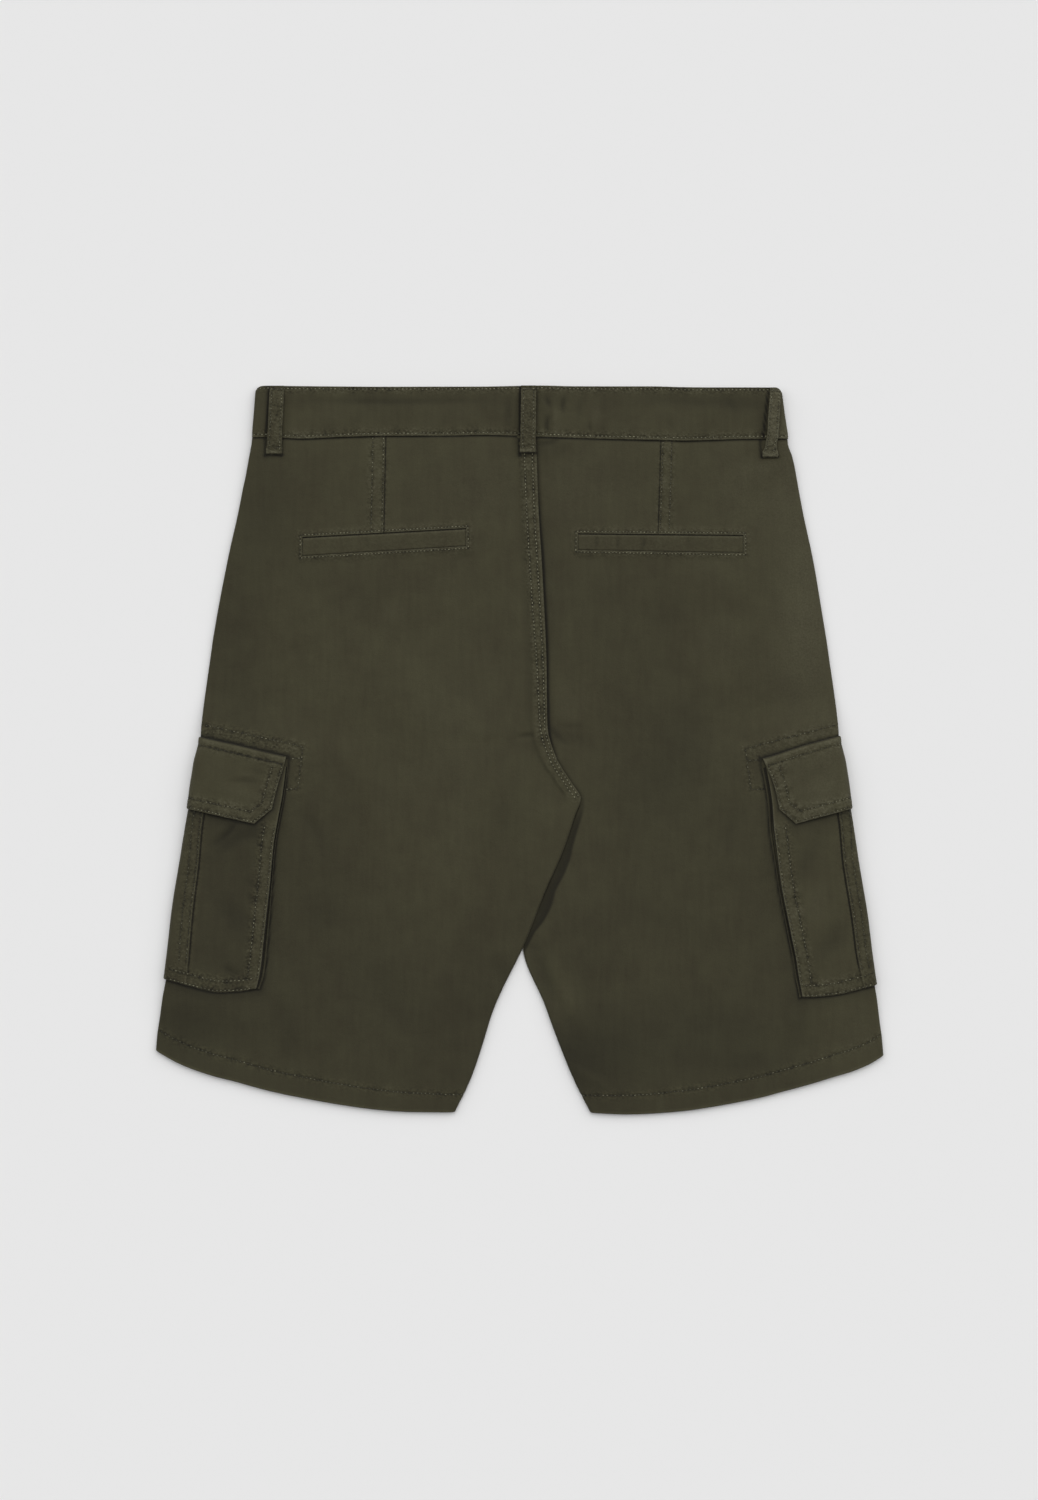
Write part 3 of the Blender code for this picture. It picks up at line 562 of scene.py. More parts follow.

# A row of stitches draws the cloth down into a channel and gathers it in short ripples; painted
# shade darkens the channel and the ripples' troughs
CHANNEL_DEPTH = 0.4
CHANNEL_WIDTH = 0.95
CHANNEL_SHADE = 1.05
RIPPLE_LENGTH = 5
RIPPLE_HEIGHT = 0.4
RIPPLE_REACH = 4
RIPPLE_SHADE = 0.4
GATHER_REACH = 3.8
GATHER_MOST = 1.2


def sewn_relief(rows, x, y):
    """(height, wear) round rows of stitches, in the plane of the rows.

    The height is a Gaussian channel along each row and ripples of irregular length across it,
    which die away to both sides. The ripples' crests are worn pale, and painted shade darkens the
    channel and the ripples' troughs.
    """
    height, wear = np.zeros(x.size), np.zeros(x.size)
    for row in rows:
        index, left, place = beside(row.path, x, y, 3 * RIPPLE_REACH)
        ripple = unevenness_1d(place, RIPPLE_LENGTH, row.seed)
        ripple += 0.5 * unevenness_1d(place, RIPPLE_LENGTH * 0.43, row.seed + 1)
        fade = bell(left, RIPPLE_REACH)
        channel = bell(left, CHANNEL_WIDTH) * row.sewn
        height[index] += row.strength * (RIPPLE_HEIGHT * ripple * fade - CHANNEL_DEPTH * channel)
        wear[index] += row.strength * (RIPPLE_SHADE * ripple * fade - CHANNEL_SHADE * channel)
    return height.reshape(x.shape), wear.reshape(x.shape)


def gathered(rows, x, y):
    """How much the rows crumple the cloth finely: a Gaussian beside each, the strongest taken."""
    amount = np.zeros(x.size)
    for row in rows:
        index, left, _ = beside(row.path, x, y, 2.5 * GATHER_REACH)
        beside_row = min(1.3 * row.strength, GATHER_MOST) * bell(left, GATHER_REACH)
        amount[index] = np.maximum(amount[index], beside_row)
    return amount.reshape(x.shape)


def shaded(edges, x, y):
    """Shade where something lies on the cloth: a narrow and a wide Gaussian beside each edge."""
    wear = np.zeros(x.size)
    for path, depth, reach, far_depth, far_reach in edges:
        index, left, _ = beside(path, x, y, 2.6 * far_reach)
        wear[index] -= depth * bell(left, reach)
        wear[index] -= far_depth * bell(left, far_reach)
    return wear.reshape(x.shape)


def patches(spots, x, y):
    """Soft oval patches that are darker or paler: a sum of Gaussians."""
    total = np.zeros_like(x)
    for centre_x, centre_y, reach_x, reach_y, amount in spots:
        off = ((x - centre_x) / reach_x) ** 2 + ((y - centre_y) / reach_y) ** 2
        total += amount * np.exp(-off)
    return total


# Soft troughs in the back of the legs: x and y of both ends, the middle's offset to the left of
# the line between them, the half width, and the depth (negative for a ridge)
BACK_CREASES = {
    "left": (
        (-62, 11, 12, 9, -2, 5, 0.3), (-1.5, 10.2, 13, 11.2, 0.3, 1.5, 1),
        (-52, 148, -33, 152, 0.5, 1.6, 0.35), (-26, -160, -4, -185, 1.5, 7, 0.35),
        (-30, -208, -42, -236, 2, 8, -0.3), (-150, 120, -70, 96, 6, 15, 0.35),
        (-196, 205, -150, 120, -8, 15, 0.4), (-120, 40, -60, -60, 12, 20, 0.35),
        (-175, -46, -150, -80, 3, 6, 0.45), (-186, -190, -178, -246, 3, 8, 0.35),
        (-130, -150, -60, -226, -10, 19, 0.4), (26.5, -16, 26, -42, 0.3, 1.6, 0.3),
        (33, -30, 30, -48, 0.3, 1.8, 0.18),
    ),
    "right": (
        (23.5, 20, 38, 4.5, -1, 2.1, 1), (27, 18, 53, 17, 0.5, 2.6, 0.45),
        (23, 16, 60, 6, -2, 6, 0.45), (9, -150, 44, -216, -2.5, 6, 0.75),
        (24, -166, 50, -214, -2, 7, -0.5), (41, -243, 71, -262, -1, 3.5, -0.45),
        (7, -152, 17, -157, 0.5, 2, 0.45), (205, 222, 176, 196, 2, 8, 0.45),
        (190, 120, 96, 92, -7, 17, 0.4), (150, 60, 80, -60, 12, 22, 0.4),
        (176, -44, 160, -80, -3, 7, 0.45), (70, -120, 160, -160, 8, 20, 0.4),
        (216, -190, 214, -236, 3, 9, 0.35), (100, -190, 190, -214, -6, 16, 0.35),
        (62, 149, 44, 151, 1, 1.6, 0.35), (12.5, 237.5, 31, 240.5, 0.3, 1.7, 0.95),
        (30, 226, 40, 238, 0.5, 4, 0.35),
    ),
}
CREASE_GAIN = 1.5
# painted shade in creases' troughs and painted light on their ridges, per mm of depth
CREASE_SHADE = 0.5
FRONT_CREASES = {
    "left": (
        (-40, 40, 6, 12, 3, 5, 0.4), (-52, -40, 16, -96, 8, 9, 0.45), (-150, 60, -70, 10, -9, 16, 0.4),
        (-140, -150, -70, -220, 9, 18, 0.4),
    ),
    "right": (
        (28, 14, 78, 44, -3, 5, 0.45), (30, -60, 96, -28, 7, 8, 0.45), (80, 90, 170, 120, 8, 17, 0.4),
        (90, -150, 180, -196, -9, 18, 0.4),
    ),
}


def creased(creases, x, y):
    """Height of soft troughs: a Gaussian across each bent line, tapered to both its ends."""
    height = np.zeros(x.size)
    for x1, y1, x2, y2, offset, half_width, depth in creases:
        start, end = np.array([x1, y1]), np.array([x2, y2])
        step = (end - start) / np.linalg.norm(end - start)
        straight = (start + end) / 2
        middle = straight + offset * np.array([-step[1], step[0]])
        bend = 0.2 * (middle - straight)
        path = route([start, (start + middle) / 2 + bend, middle, (end + middle) / 2 + bend, end], 2)
        index, left, place = beside(path, x, y, 3 * half_width)
        share = np.clip(place / lengths_along(path)[-1], 0, 1)
        taper = np.sin(math.pi * np.clip(0.04 + 0.92 * share, 0, 1)) ** 0.8
        height[index] -= depth * taper * bell(left, half_width)
    return height.reshape(x.shape)


HEM_ROW_Y = {"out": -218, "in": -267}
HEM_BOW = 15.2
HEM_OUT_Y = -234.5
HEM_IN_Y = -281.6
HEM_CLOTH = 1.8  # the turned-up hem's thickness
CENTRE_ROWS = (3.5, 9.5)  # distances of the stitch rows from the lapped edge
CENTRE_ROW_END_Y = -36
CENTRE_ROWS_CLOSE = (-140, 30)  # the drops below y = 0 between which the rows draw together
WELT_FRAME = 1.6  # the stitched frame lies this far outside the welt
REINFORCEMENT = {"left": (80.6, -13), "right": (73.4, -12)}  # across and along of its corner
REINFORCEMENT_ALONG = 20
FLY_ROWS = (38, 44.5)
FLY_END_Y = 92


def bowed(share):
    """How far a row across a leg bows down at a share of its length: 0 at its ends, 1 between."""
    return 1 - np.abs(2 * share - 1) ** BOW_POWER


def hem_row(side, seed, strength, shade=0):
    """The row of stitches that holds a panel's hem, bowed across the leg."""
    share = np.linspace(0, 1, 60)
    start = SIGN[side] * outseam_x(HEM_ROW_Y["out"])
    x = start + (inner_x(HEM_ROW_Y["in"], side) - start) * share
    y = HEM_ROW_Y["out"] + (HEM_ROW_Y["in"] - HEM_ROW_Y["out"]) * share - HEM_BOW * bowed(share)
    return Row(resampled(stacked(x, y)), seed, strength, shade)


def welt_corners(side, outside=0):
    """The welt's corners, from its top left one clockwise, moved out by a distance."""
    welt = WELTS[side]
    left, right = welt.x_left - outside, welt.x_right + outside
    return np.array([
        (left, welt.top_left + outside), (right, welt.top_right + outside),
        (right, welt.bottom_right - outside), (left, welt.bottom_left - outside),
    ])


def skewed(side, along, across):
    """The plan position of a point on a leg given along the outseam and across from it."""
    slope = math.radians(POCKET_SLOPES[side])
    along, across = np.asarray(along, float), np.asarray(across, float)
    x = SIGN[side] * (outseam_x(along) - across * math.cos(slope))
    return stacked(x, along - across * math.sin(slope))


def dart_x(side, y):
    """The dart's seam at this y, straight from the waist to the welt."""
    top_x, bottom_x, _ = DARTS[side]
    share = (BAND_BOTTOM_Y - np.asarray(y, float)) / (BAND_BOTTOM_Y - WELTS[side].top_left)
    return top_x + (bottom_x - top_x) * np.clip(share, 0, 1)


def centre_edge(start_y, end_y):
    """The lapped edge of the centre back seam between two heights, downwards."""
    y = np.linspace(start_y, end_y, 120)
    return resampled(stacked(inner_x(y, "left"), y))


def back_rows(side):
    """The rows on one back panel: round its welt, beside its dart, on its reinforcement, along its
    hem, and on the left one down the lapped seam."""
    corners = welt_corners(side, WELT_FRAME)
    rows = [Row(resampled(corners[[k, (k + 1) % 4]]), 31 + k, 0.6, 0.3, pitch=2.7) for k in range(4)]
    dart_top_x, _, dart_width = DARTS[side]
    dart_top = BAND_BOTTOM_Y + band_rise(dart_top_x, "bottom") - 0.5
    dart_y = np.linspace(dart_top, WELTS[side].top_left + 2 * WELT_FRAME, 30)
    for offset in (1, dart_width):
        line = stacked(dart_x(side, dart_y) + SIGN[side] * offset, dart_y)
        rows.append(Row(resampled(line), 51 + int(offset), 0.7, -0.2))
    across, corner_along = REINFORCEMENT[side]
    middle = (REINFORCEMENT_ALONG + FLAP_TOP) / 2
    gathers = {"left": (0.9, 0.6, 0.6, 0.6, 0.9), "right": (0.7, 0.6, 0.6, 0.6, 0.5)}[side]
    for k, line in enumerate((
        ((REINFORCEMENT_ALONG, 2.5), (REINFORCEMENT_ALONG, across)),
        ((REINFORCEMENT_ALONG, across), (corner_along, across)),
        ((corner_along, across), (corner_along - 2.1, across - 10)),
        ((FLAP_TOP, across), (FLAP_TOP - 2.1, across - 9)),
        ((middle, 3), (middle, across - 6)),
    )):
        path = resampled(skewed(side, *zip(*line)))
        rows.append(Row(path, 61 + k, gathers[k], -0.35, sewn=k < 4))
    rows.append(hem_row(side, 71, 0.55, -0.3))
    if side == "left":
        edge = centre_edge(BAND_BOTTOM_Y + 1.5, CENTRE_ROW_END_Y)
        closer = 1 - 0.5 * ramp(-edge[:, 1:], *CENTRE_ROWS_CLOSE)
        for k, offset in enumerate(CENTRE_ROWS):
            line = resampled(inset(edge, -offset * closer))
            for part, strength in ((line[line[:, 1] > 8], 0.9), (line[line[:, 1] < 9.5], 0.5)):
                rows.append(Row(part, 81 + k, strength, 0.6, 2.9))
    return rows


def resting_edges(side):
    """Where the flap, the pocket and the loops lie on a back panel: paths, and two depths and
    reaches of shade beside each."""
    along = np.linspace(FLAP_TOP, float(pocket_bottom(side, 1)), 60)
    gusset_foot = pocket_edge(side, along, "edge") + gusset_width(side, along) + 0.3
    share = np.linspace(0, 1, 40)
    bottom = pocket_bottom(side, share)
    foot = skewed(side, bottom, share * pocket_edge(side, bottom, "edge"))
    across = share * float(flap_edge(side, FLAP_TOP))
    top = skewed(side, drooped(side, FLAP_TOP, across), across)
    edges = [
        (top, 1.9, 1.6, 0.15, 5),
        (skewed(side, along, gusset_foot), 1.3, 1, 0.2, 6),
        (foot, 1.2, 1.2, 0.4, 6),
    ]
    top_y = BAND_BOTTOM_Y + 2
    for loop in BACK_LOOPS:
        left, right = loop.x_bottom - loop.width / 2, loop.x_bottom + loop.width / 2
        low = loop.bottom_y
        edges += [
            (((left - 0.3, top_y), (left - 0.3, low)), 1.3, 1.2, 0.2, 3.5),
            (((left, low - 0.4), (right, low - 0.4)), 1.7, 0.9, 0.3, 3),
            (((right + 0.2, top_y), (right + 0.2, low)), 0.8, 0.8, 0.1, 3),
        ]
    return [(resampled(path), *depths) for path, *depths in edges]


def front_rows(side):
    """The rows on one front panel: its hem, the J of the fly, and the seam below it."""
    rows = [hem_row(side, 171, 0.6)]
    if side == "left":
        y = np.linspace(BAND_BOTTOM_Y - 1, FLY_END_Y + 26, 40)
        turn = np.radians(np.linspace(0, 90, 14))
        for k, offset in enumerate(FLY_ROWS):
            line = stacked(inner_x(y, side) - offset, y)
            corner_x = inner_x(FLY_END_Y, side) - 3
            reach = corner_x - line[-1, 0]
            drop = line[-1, 1] - (FLY_END_Y - 3 * k)
            hook = stacked(corner_x - reach * np.cos(turn), line[-1, 1] - drop * np.sin(turn))
            rows.append(Row(route(np.concatenate([line, hook[1:]])), 181 + k, 0.7))
        edge = centre_edge(FLY_END_Y - 8, CENTRE_ROW_END_Y)
        rows += [Row(resampled(inset(edge, -offset)), 191 + k, 0.7)
                 for k, offset in enumerate(CENTRE_ROWS)]
    return rows


ROWS = {
    (layer, side): rows(side)
    for layer, rows in (("back", back_rows), ("front", front_rows)) for side in BOTH
}

WELT_LIP = 0.9
WELT_LIP_REACH = 6
WELT_FLOOR = -0.5
DART_RISE = 0.45
VALLEY = (0.9, 12)  # depth and reach of the sag beside the centre seam
STEP_SAG = (0.9, 3.5, 10.5)  # the sag beside the left leg: its depth, and where it starts to rise
# How far the shade beside the left leg reaches, down its inseam
INSEAM_SHADE = table(
    "y reach",
    (-34, 1.6), (-41, 2.6), (-51, 5), (-62, 5.4), (-74, 6.1), (-86, 8), (-97, 8.6), (-109, 7.6),
    (-121, 9), (-133, 7.6), (-143, 3.8), (-156, 2.6),
)
WAIST_DIP = (0.6, 1.3)  # depth and reach of the panel's dip into the band's seam
# How deep the lapped seam is, and how dark its painted shade, down its length
CRACK = table(
    "y strength",
    (236, 0.3), (218, 0.45), (205, 0.5), (190, 0.75), (170, 1), (148, 1.4), (125, 1.1), (101, 1.15),
    (70, 0.95), (52, 0.95), (31, 1.4), (15, 1.25), (3, 0.7), (-8, 0.4), (-38, 0.3),
)
# Painted light and shade on the back, as darker and paler patches: x, y, reach in x and in y, amount
BACK_PATCHES = {
    "left": (
        (-214, -120, 62, 95, -0.22), (-160, -60, 40, 60, -0.12), (-50, -75, 45, 60, 0.22),
        (-226, 100, 24, 110, -0.3), (-20, -210, 30, 50, -0.16), (-70, 60, 70, 60, 0.06),
        (-262, -215, 30, 40, -0.28), (-20, 205, 60, 28, 0.22), (-45, 18, 50, 40, 0.14),
        (-250, -218, 34, 20, -0.14), (-216, 8, 30, 44, -0.24), (-205, 165, 16, 40, -0.24),
        (-190, 208, 24, 26, -0.15), (-78, -20, 26, 22, 0.18), (-12, -55, 20, 26, -0.2),
        (-150, -125, 16, 18, -0.24), (-98, 108, 15, 12, 0.26), (-108, -55, 14, 30, 0.12),
    ),
    "right": (
        (188, 215, 34, 40, 0.45), (118, -5, 60, 80, -0.26), (192, -110, 22, 70, -0.1),
        (45, 205, 50, 28, 0.22), (40, -240, 52, 32, -0.62), (130, -225, 60, 24, -0.22),
        (222, 105, 24, 100, 0.7), (60, 110, 40, 44, -0.16), (250, -10, 16, 40, 0.4),
        (45, 35, 20, 26, 0.16), (62, -150, 30, 30, -0.1), (262, -215, 34, 40, 0.45),
        (120, -150, 60, 50, 0.14), (222, 40, 16, 30, -0.16), (155, 95, 28, 65, 0.26),
        (34, -197, 9, 16, 0.4), (30, 36, 12, 22, 0.2), (180, -241, 38, 8, -0.26),
        (24, 238, 13, 10, -0.35), (180, 232, 12, 8, -0.35),
    ),
}
LEG_SHADE = 0.28  # painted shade: the legs are darker than the seat


def welt_relief(side, x, y):
    """A raised lip round the welt that drops at its edge, worn pale, to a floor of painted shade under
    the welt.
    """
    welt = WELTS[side]
    share = (x - welt.x_left) / (welt.x_right - welt.x_left)
    top = welt.top_left + (welt.top_right - welt.top_left) * share
    bottom = welt.bottom_left + (welt.bottom_right - welt.bottom_left) * share
    out_x = np.maximum(welt.x_left - x, x - welt.x_right)
    out_y = np.maximum(y - top, bottom - y)
    at_corner = (out_x > 0) & (out_y > 0)
    outside = np.where(at_corner, np.hypot(out_x, out_y), np.maximum(out_x, out_y))
    inside = ramp(outside, 0.3, -0.3)
    lip = WELT_LIP * ramp(outside, WELT_LIP_REACH, 1.5)
    return lip * (1 - inside) + WELT_FLOOR * inside, 0.9 * bell(outside - 0.5, 0.6) - 1.6 * inside


def dart_relief(side, x, y):
    """A strip raised beside the dart's seam: a step at the seam, an even slope at the far side, painted
    shade at the seam's foot.
    """
    width = DARTS[side][2]
    outward = SIGN[side] * (x - dart_x(side, y))
    strip = ramp(outward, -0.35, 0.3) * ramp(outward, width + 2.5, width)
    above = ramp(y, WELTS[side].top_left - 2, WELTS[side].top_left + 2)
    foot = bell(outward + 0.6, 0.5)
    height = DART_RISE * strip - 0.22 * foot
    wear = 0.5 * bell(outward - 0.5, 0.6) - 1.9 * foot + 0.15 * strip
    return height * above, wear * above


def back_swell(x, y):
    """The broad unevenness of the back, which its welts follow."""
    return 0.45 * unevenness(x, y, 64, 5)


def back_relief(side, x, y):
    """(height, wear) of everything fine on a back panel, by its place in plan."""
    height, wear = sewn_relief(ROWS["back", side], x, y)
    # painted shade beside what lies on the panel, and painted light and shade in patches
    wear += shaded(RESTING[side], x, y) + patches(BACK_PATCHES[side], x, y)
    wear -= LEG_SHADE * ramp(-y, -40, 250)
    crease = creased(BACK_CREASES[side], x, y)
    height += CREASE_GAIN * crease + back_swell(x, y) + 0.16 * unevenness(x, y, 23, 6)
    wear += CREASE_SHADE * crease
    for part in (welt_relief, dart_relief):
        more_height, more_wear_and_shade = part(side, x, y)
        height, wear = height + more_height, wear + more_wear_and_shade
    below_band = BAND_BOTTOM_Y + band_rise(x, "bottom") - y
    dip = bell(below_band, WAIST_DIP[1])
    height -= WAIST_DIP[0] * dip + 0.2 * bell(below_band, 7)
    # painted shade in the dip under the band's seam
    wear -= 1.7 * dip
    beside_seam = x - inner_x(y, "left")
    if side == "right":
        depth, reach = VALLEY
        strength = curve(CRACK, "strength", y) * ramp(y, -44, -30)
        sag = bell(beside_seam, reach) * strength
        crack = bell(beside_seam, 1.9) * strength
        step_depth, step_start, step_end = STEP_SAG
        step = inseam_zone(y) * ramp(beside_seam, step_end, step_start)
        height -= depth * sag + 0.5 * crack + step_depth * step
        # painted shade in the lapped seam's crack and beside it
        wear -= 1.6 * crack + 0.5 * strength * np.exp(-np.abs(beside_seam) / 5)
        # painted shadow of the left leg's edge on the right leg, down the inseam
        reach = curve(INSEAM_SHADE, "reach", y)
        shade = 0.8 + 0.5 * np.clip(beside_seam / reach, 0, 1)
        wear -= inseam_zone(y) * shade * ramp(beside_seam, reach + 1.8, reach - 1)
    else:
        edge = -beside_seam
        rounding = rounded(edge, 0.9)
        lapped = 1 - inner(y, "fold").clip(0, 1)
        height -= 0.5 * (1 - rounding) * lapped
        lap_strip = ramp(edge, LAP_SLOPE_END, LAP_FLAT) * ramp(y, -20, 30)
        wear += 0.6 * bell(edge - 0.8, 0.7) * ramp(y, -50, -30) + 0.1 * lap_strip
        step_foot = bell(edge - LAP_SLOPE_END, 2.5) * ramp(y, -30, 0)
        # painted shade at the foot of the lap's slope
        wear -= 0.25 * step_foot
    return height, wear


def front_relief(side, x, y):
    """(height, wear) of a front panel's outside, which faces down; painted shade in the band's dip and
    at the centre seam.
    """
    height, wear = sewn_relief(ROWS["front", side], x, y)
    height += creased(FRONT_CREASES[side], x, y)
    height += 0.25 * unevenness(x, y, 58, 15) + 0.08 * unevenness(x, y, 21, 16)
    dip = bell(BAND_BOTTOM_Y + band_rise(x, "bottom") - y, WAIST_DIP[1])
    edge = inner_x(y, "left") - x if side == "left" else x - inner_x(y, "left")
    seam = bell(edge, 0.9) * (y > CENTRE_ROW_END_Y)
    return height - WAIST_DIP[0] * dip - 0.4 * seam, wear - 1.2 * dip - 0.8 * seam


RELIEF = {"back": back_relief, "front": front_relief}

# ---- panels

PANEL_TOP_Y = 242.6
# Rows of the grid: y at the outseam and at the inner edge, the bow, and 1 where it is crisp
FRONT_MARKS = ((170, 170, 0, 0), (155, 155, 0, 0))
LEG_MARKS = (
    (88, 88, 0, 0), (18.7, 18.7, 0, 0), (-45, -38, 0, 0), (-92, -79.6, 0, 0), (-128, -109.5, 0, 0),
    (-165, -153.3, 3, 0),
)
DEEPEST = -0.95  # how far relief may sink into the cloth
OUTER_ANGLES = np.radians([0, 18, 36, 54, 72, 90])
# Columns beside the inner edge, by their distance from where it turns down
LAP_STATIONS = np.array([
    11.5, 10.4, 9.4, 8.6, 7.9, 7.2, 6.5, 5.9, 5.3, 4.8, 4.2, 3.5, 2.8, 2.1, 1.4, 0.7,
])
INNER_ANGLES = np.radians([0, 12, 26, 40, 54, 66, 76, 84, 90])
PANEL_SPACING = {"back": 1.9, "front": 2.8}


def level_row(side, first, second):
    """The y at which the line through two points meets the outseam and the inner edge."""
    (x1, y1), (x2, y2) = first, second
    ends = (SIGN[side] * outseam_x(y1), inner_x(y1, side))
    return [float(y1 + (y2 - y1) / (x2 - x1) * (x - x1)) for x in ends]


def panel_marks(side, layer):
    """The rows that the grid follows: y at the outseam and the inner edge, the bow, and crispness."""
    upper = FRONT_MARKS
    if layer == "back":
        corners = welt_corners(side)
        upper = [(*level_row(side, *corners[ends]), 0, 1) for ends in ([0, 1], [3, 2])]
    hem = ((HEM_ROW_Y["out"], HEM_ROW_Y["in"], HEM_BOW, 1), (HEM_OUT_Y, HEM_IN_Y, HEM_BOW, 1))
    return np.array([(PANEL_TOP_Y, PANEL_TOP_Y, 0, 1), *upper, *LEG_MARKS, *hem], float)


def lap_rise(layer, y, inward):
    """How far a panel that laps over the other one rises, inward mm in from its inner edge."""
    return inner(y, layer + "_rise") * ramp(inward, LAP_SLOPE_END, LAP_FLAT)


def panel_grid(side, layer):
    """A panel's outside, its inside, and the outside's wear and UV, as grids of rows by columns.

    A row starts halfway down the outseam fold, rises round its quarter circle, runs along the
    surface and turns through fold x 90 degrees at the inner edge. The relief then moves the outside
    along its normal, and the inside lies one thickness behind the smooth surface.
    """
    sign, upward = SIGN[side], 1 if layer == "back" else -1
    marks = panel_marks(side, layer)
    lengths = np.abs(np.diff(marks[:, :2], axis=0)).max(axis=1)
    lines = grid_lines(lengths, marks[:, 3], PANEL_SPACING[layer])[:, None]
    out_y, in_y, bow = (np.interp(lines, np.arange(len(marks)), marks[:, k]) for k in range(3))
    start_x, end_x = sign * outseam_x(out_y), inner_x(in_y, side)
    if side == "right":
        end_x = end_x - inner(in_y, layer + "_lap")
    length = np.hypot(end_x - start_x, in_y - out_y)
    along_x, along_y = (end_x - start_x) / length, (in_y - out_y) / length
    outer_radius = (LEG_HEIGHT - SEAM_GAP) / 2
    fold = np.clip(inner(in_y, "fold"), 1e-3, 1)
    turn = fold * INNER_ANGLES
    arc = (leg_height(end_x, in_y, side) - SEAM_GAP) / 2 / fold
    flat_end = length - arc * np.sin(turn[:, -1:])

    def column_at(x, mark):
        """A column through x between a mark and the next one, at the same share of a row past them."""
        share, ends = (x - start_x) / (end_x - start_x), [mark, mark + 1]
        return length * np.interp(lines, ends, np.interp(ends, lines[:, 0], share[:, 0]))

    crisp = []
    if layer == "back":
        outer_end, inner_end = welt_corners(side)[[0, 1] if side == "left" else [1, 0], 0]
        crisp = [column_at(outer_end, 1), column_at(dart_x(side, out_y), 0), column_at(inner_end, 1)]
    stations = [outer_radius + 0 * length, *crisp, flat_end - LAP_STATIONS[0]]
    stations = np.concatenate(stations, axis=1)
    widths = np.diff(stations, axis=1).max(axis=0)
    across = grid_lines(widths, [0] + [1] * len(crisp) + [0], PANEL_SPACING[layer])
    k = np.minimum(across.astype(int), len(widths) - 1)
    place = np.concatenate([
        outer_radius * (1 - np.cos(OUTER_ANGLES[:-1])) + 0 * length,
        stations[:, k] + (across - k) * (stations[:, k + 1] - stations[:, k]),
        flat_end - LAP_STATIONS[1:],
        flat_end + arc * np.sin(turn),
    ], axis=1)

    x = start_x + along_x * place
    y = out_y + along_y * place - bow * bowed(np.clip(place / length, 0, 1))
    y = y + band_rise(x, "bottom") * ramp(y, *WAIST_RAMP)
    z = back_top(x, y, side) if layer == "back" else front_under(x, y, side)
    outer, folded = slice(len(OUTER_ANGLES)), slice(-len(INNER_ANGLES), None)
    edge = front_under(start_x, out_y, side) + LEG_HEIGHT / 2
    z[:, outer] = edge + upward * (SEAM_GAP / 2 + outer_radius * np.sin(OUTER_ANGLES))
    z[:, folded] = z[:, folded][:, :1] - upward * arc * (1 - np.cos(turn))
    if (side, layer) in (("left", "back"), ("right", "front")):
        z += lap_rise(layer, in_y, length - place)
    sideways, upright = np.zeros(x.shape), np.ones(x.shape)
    sideways[:, outer], upright[:, outer] = -np.cos(OUTER_ANGLES), np.sin(OUTER_ANGLES)
    sideways[:, folded], upright[:, folded] = np.sin(turn), np.cos(turn)
    smooth = stacked(x, y, z)
    normal = stacked(along_x * sideways, along_y * sideways, upward * upright)

    height, wear = RELIEF[layer](side, x, y)
    height = np.maximum(height, DEEPEST) if layer == "back" else np.clip(height, DEEPEST, 0)
    height[:, outer] *= np.sin(OUTER_ANGLES)
    from_hem = (lines[-1] - lines) * lengths[-1]
    height -= 0.6 * (1 - rounded(from_hem, 0.9))
    wear = stacked(wear + 0.8 * bell(from_hem - 0.9, 0.9), gathered(ROWS[layer, side], x, y))
    thickness = CLOTH + (HEM_CLOTH - CLOTH) * ramp(from_hem, 19, 14)
    outside = smooth + height[..., None] * normal
    if layer == "front":
        outside[..., 2] = np.maximum(outside[..., 2], 0)
    return outside, smooth - thickness[..., None] * normal, wear, stacked(sign * place, y)


def back_height(side, x, y):
    """The finished surface of a back panel in plan, for what is sewn on it."""
    z = back_top(x, y, side)
    if side == "left":
        z += lap_rise("back", y, inner_x(y, side) - x)
    return z + back_relief(side, x, y)[0]


def front_height(side, x, y):
    """The finished outside of a front panel in plan, seen from below."""
    z = front_under(x, y, side)
    if side == "right":
        z += lap_rise("front", y, x - inner_x(y, side) + inner(y, "front_lap"))
    return np.maximum(z - np.clip(front_relief(side, x, y)[0], DEEPEST, 0), 0)


# ---- stitches

STITCH_SHARE = 0.68
THREAD_RADIUS = 0.34
THREAD_RISE = 0.35  # how far a thread's middle lies above the cloth, in its radii
THREAD_SIDES = 6
SEWING_STEP = 0.7  # mm between the points of a line that is sewn
THREAD_FLOOR = 0.15  # a seam's line lies at least this high above the ground
# Rings along a stitch: place from -1 to 1, share of the radius, how far it dips in radii, and shade
STITCH_RINGS = (
    (-1, 0.8, 0.8, -1.6), (-0.62, 1.1, 0.35, -1.5), (-0.48, 1, 0, 0), (0.48, 1, 0, 0),
    (0.62, 1.1, 0.35, -1.5), (1, 0.8, 0.8, -1.6),
)
STITCH_STRAY = 0.18  # mm that a stitch may lie off its row
STITCH_SHADES = (-0.6, 0.3)  # the wear of one stitch or another
TACK_PITCH = 0.42
TACK_LEAN = 0.25
TACK_RADIUS = 0.2
TACK_SHADE = -0.3
SHORT_OF_FOLD = 1.6  # a panel's rows end this far from its side fold
STITCHES = {}


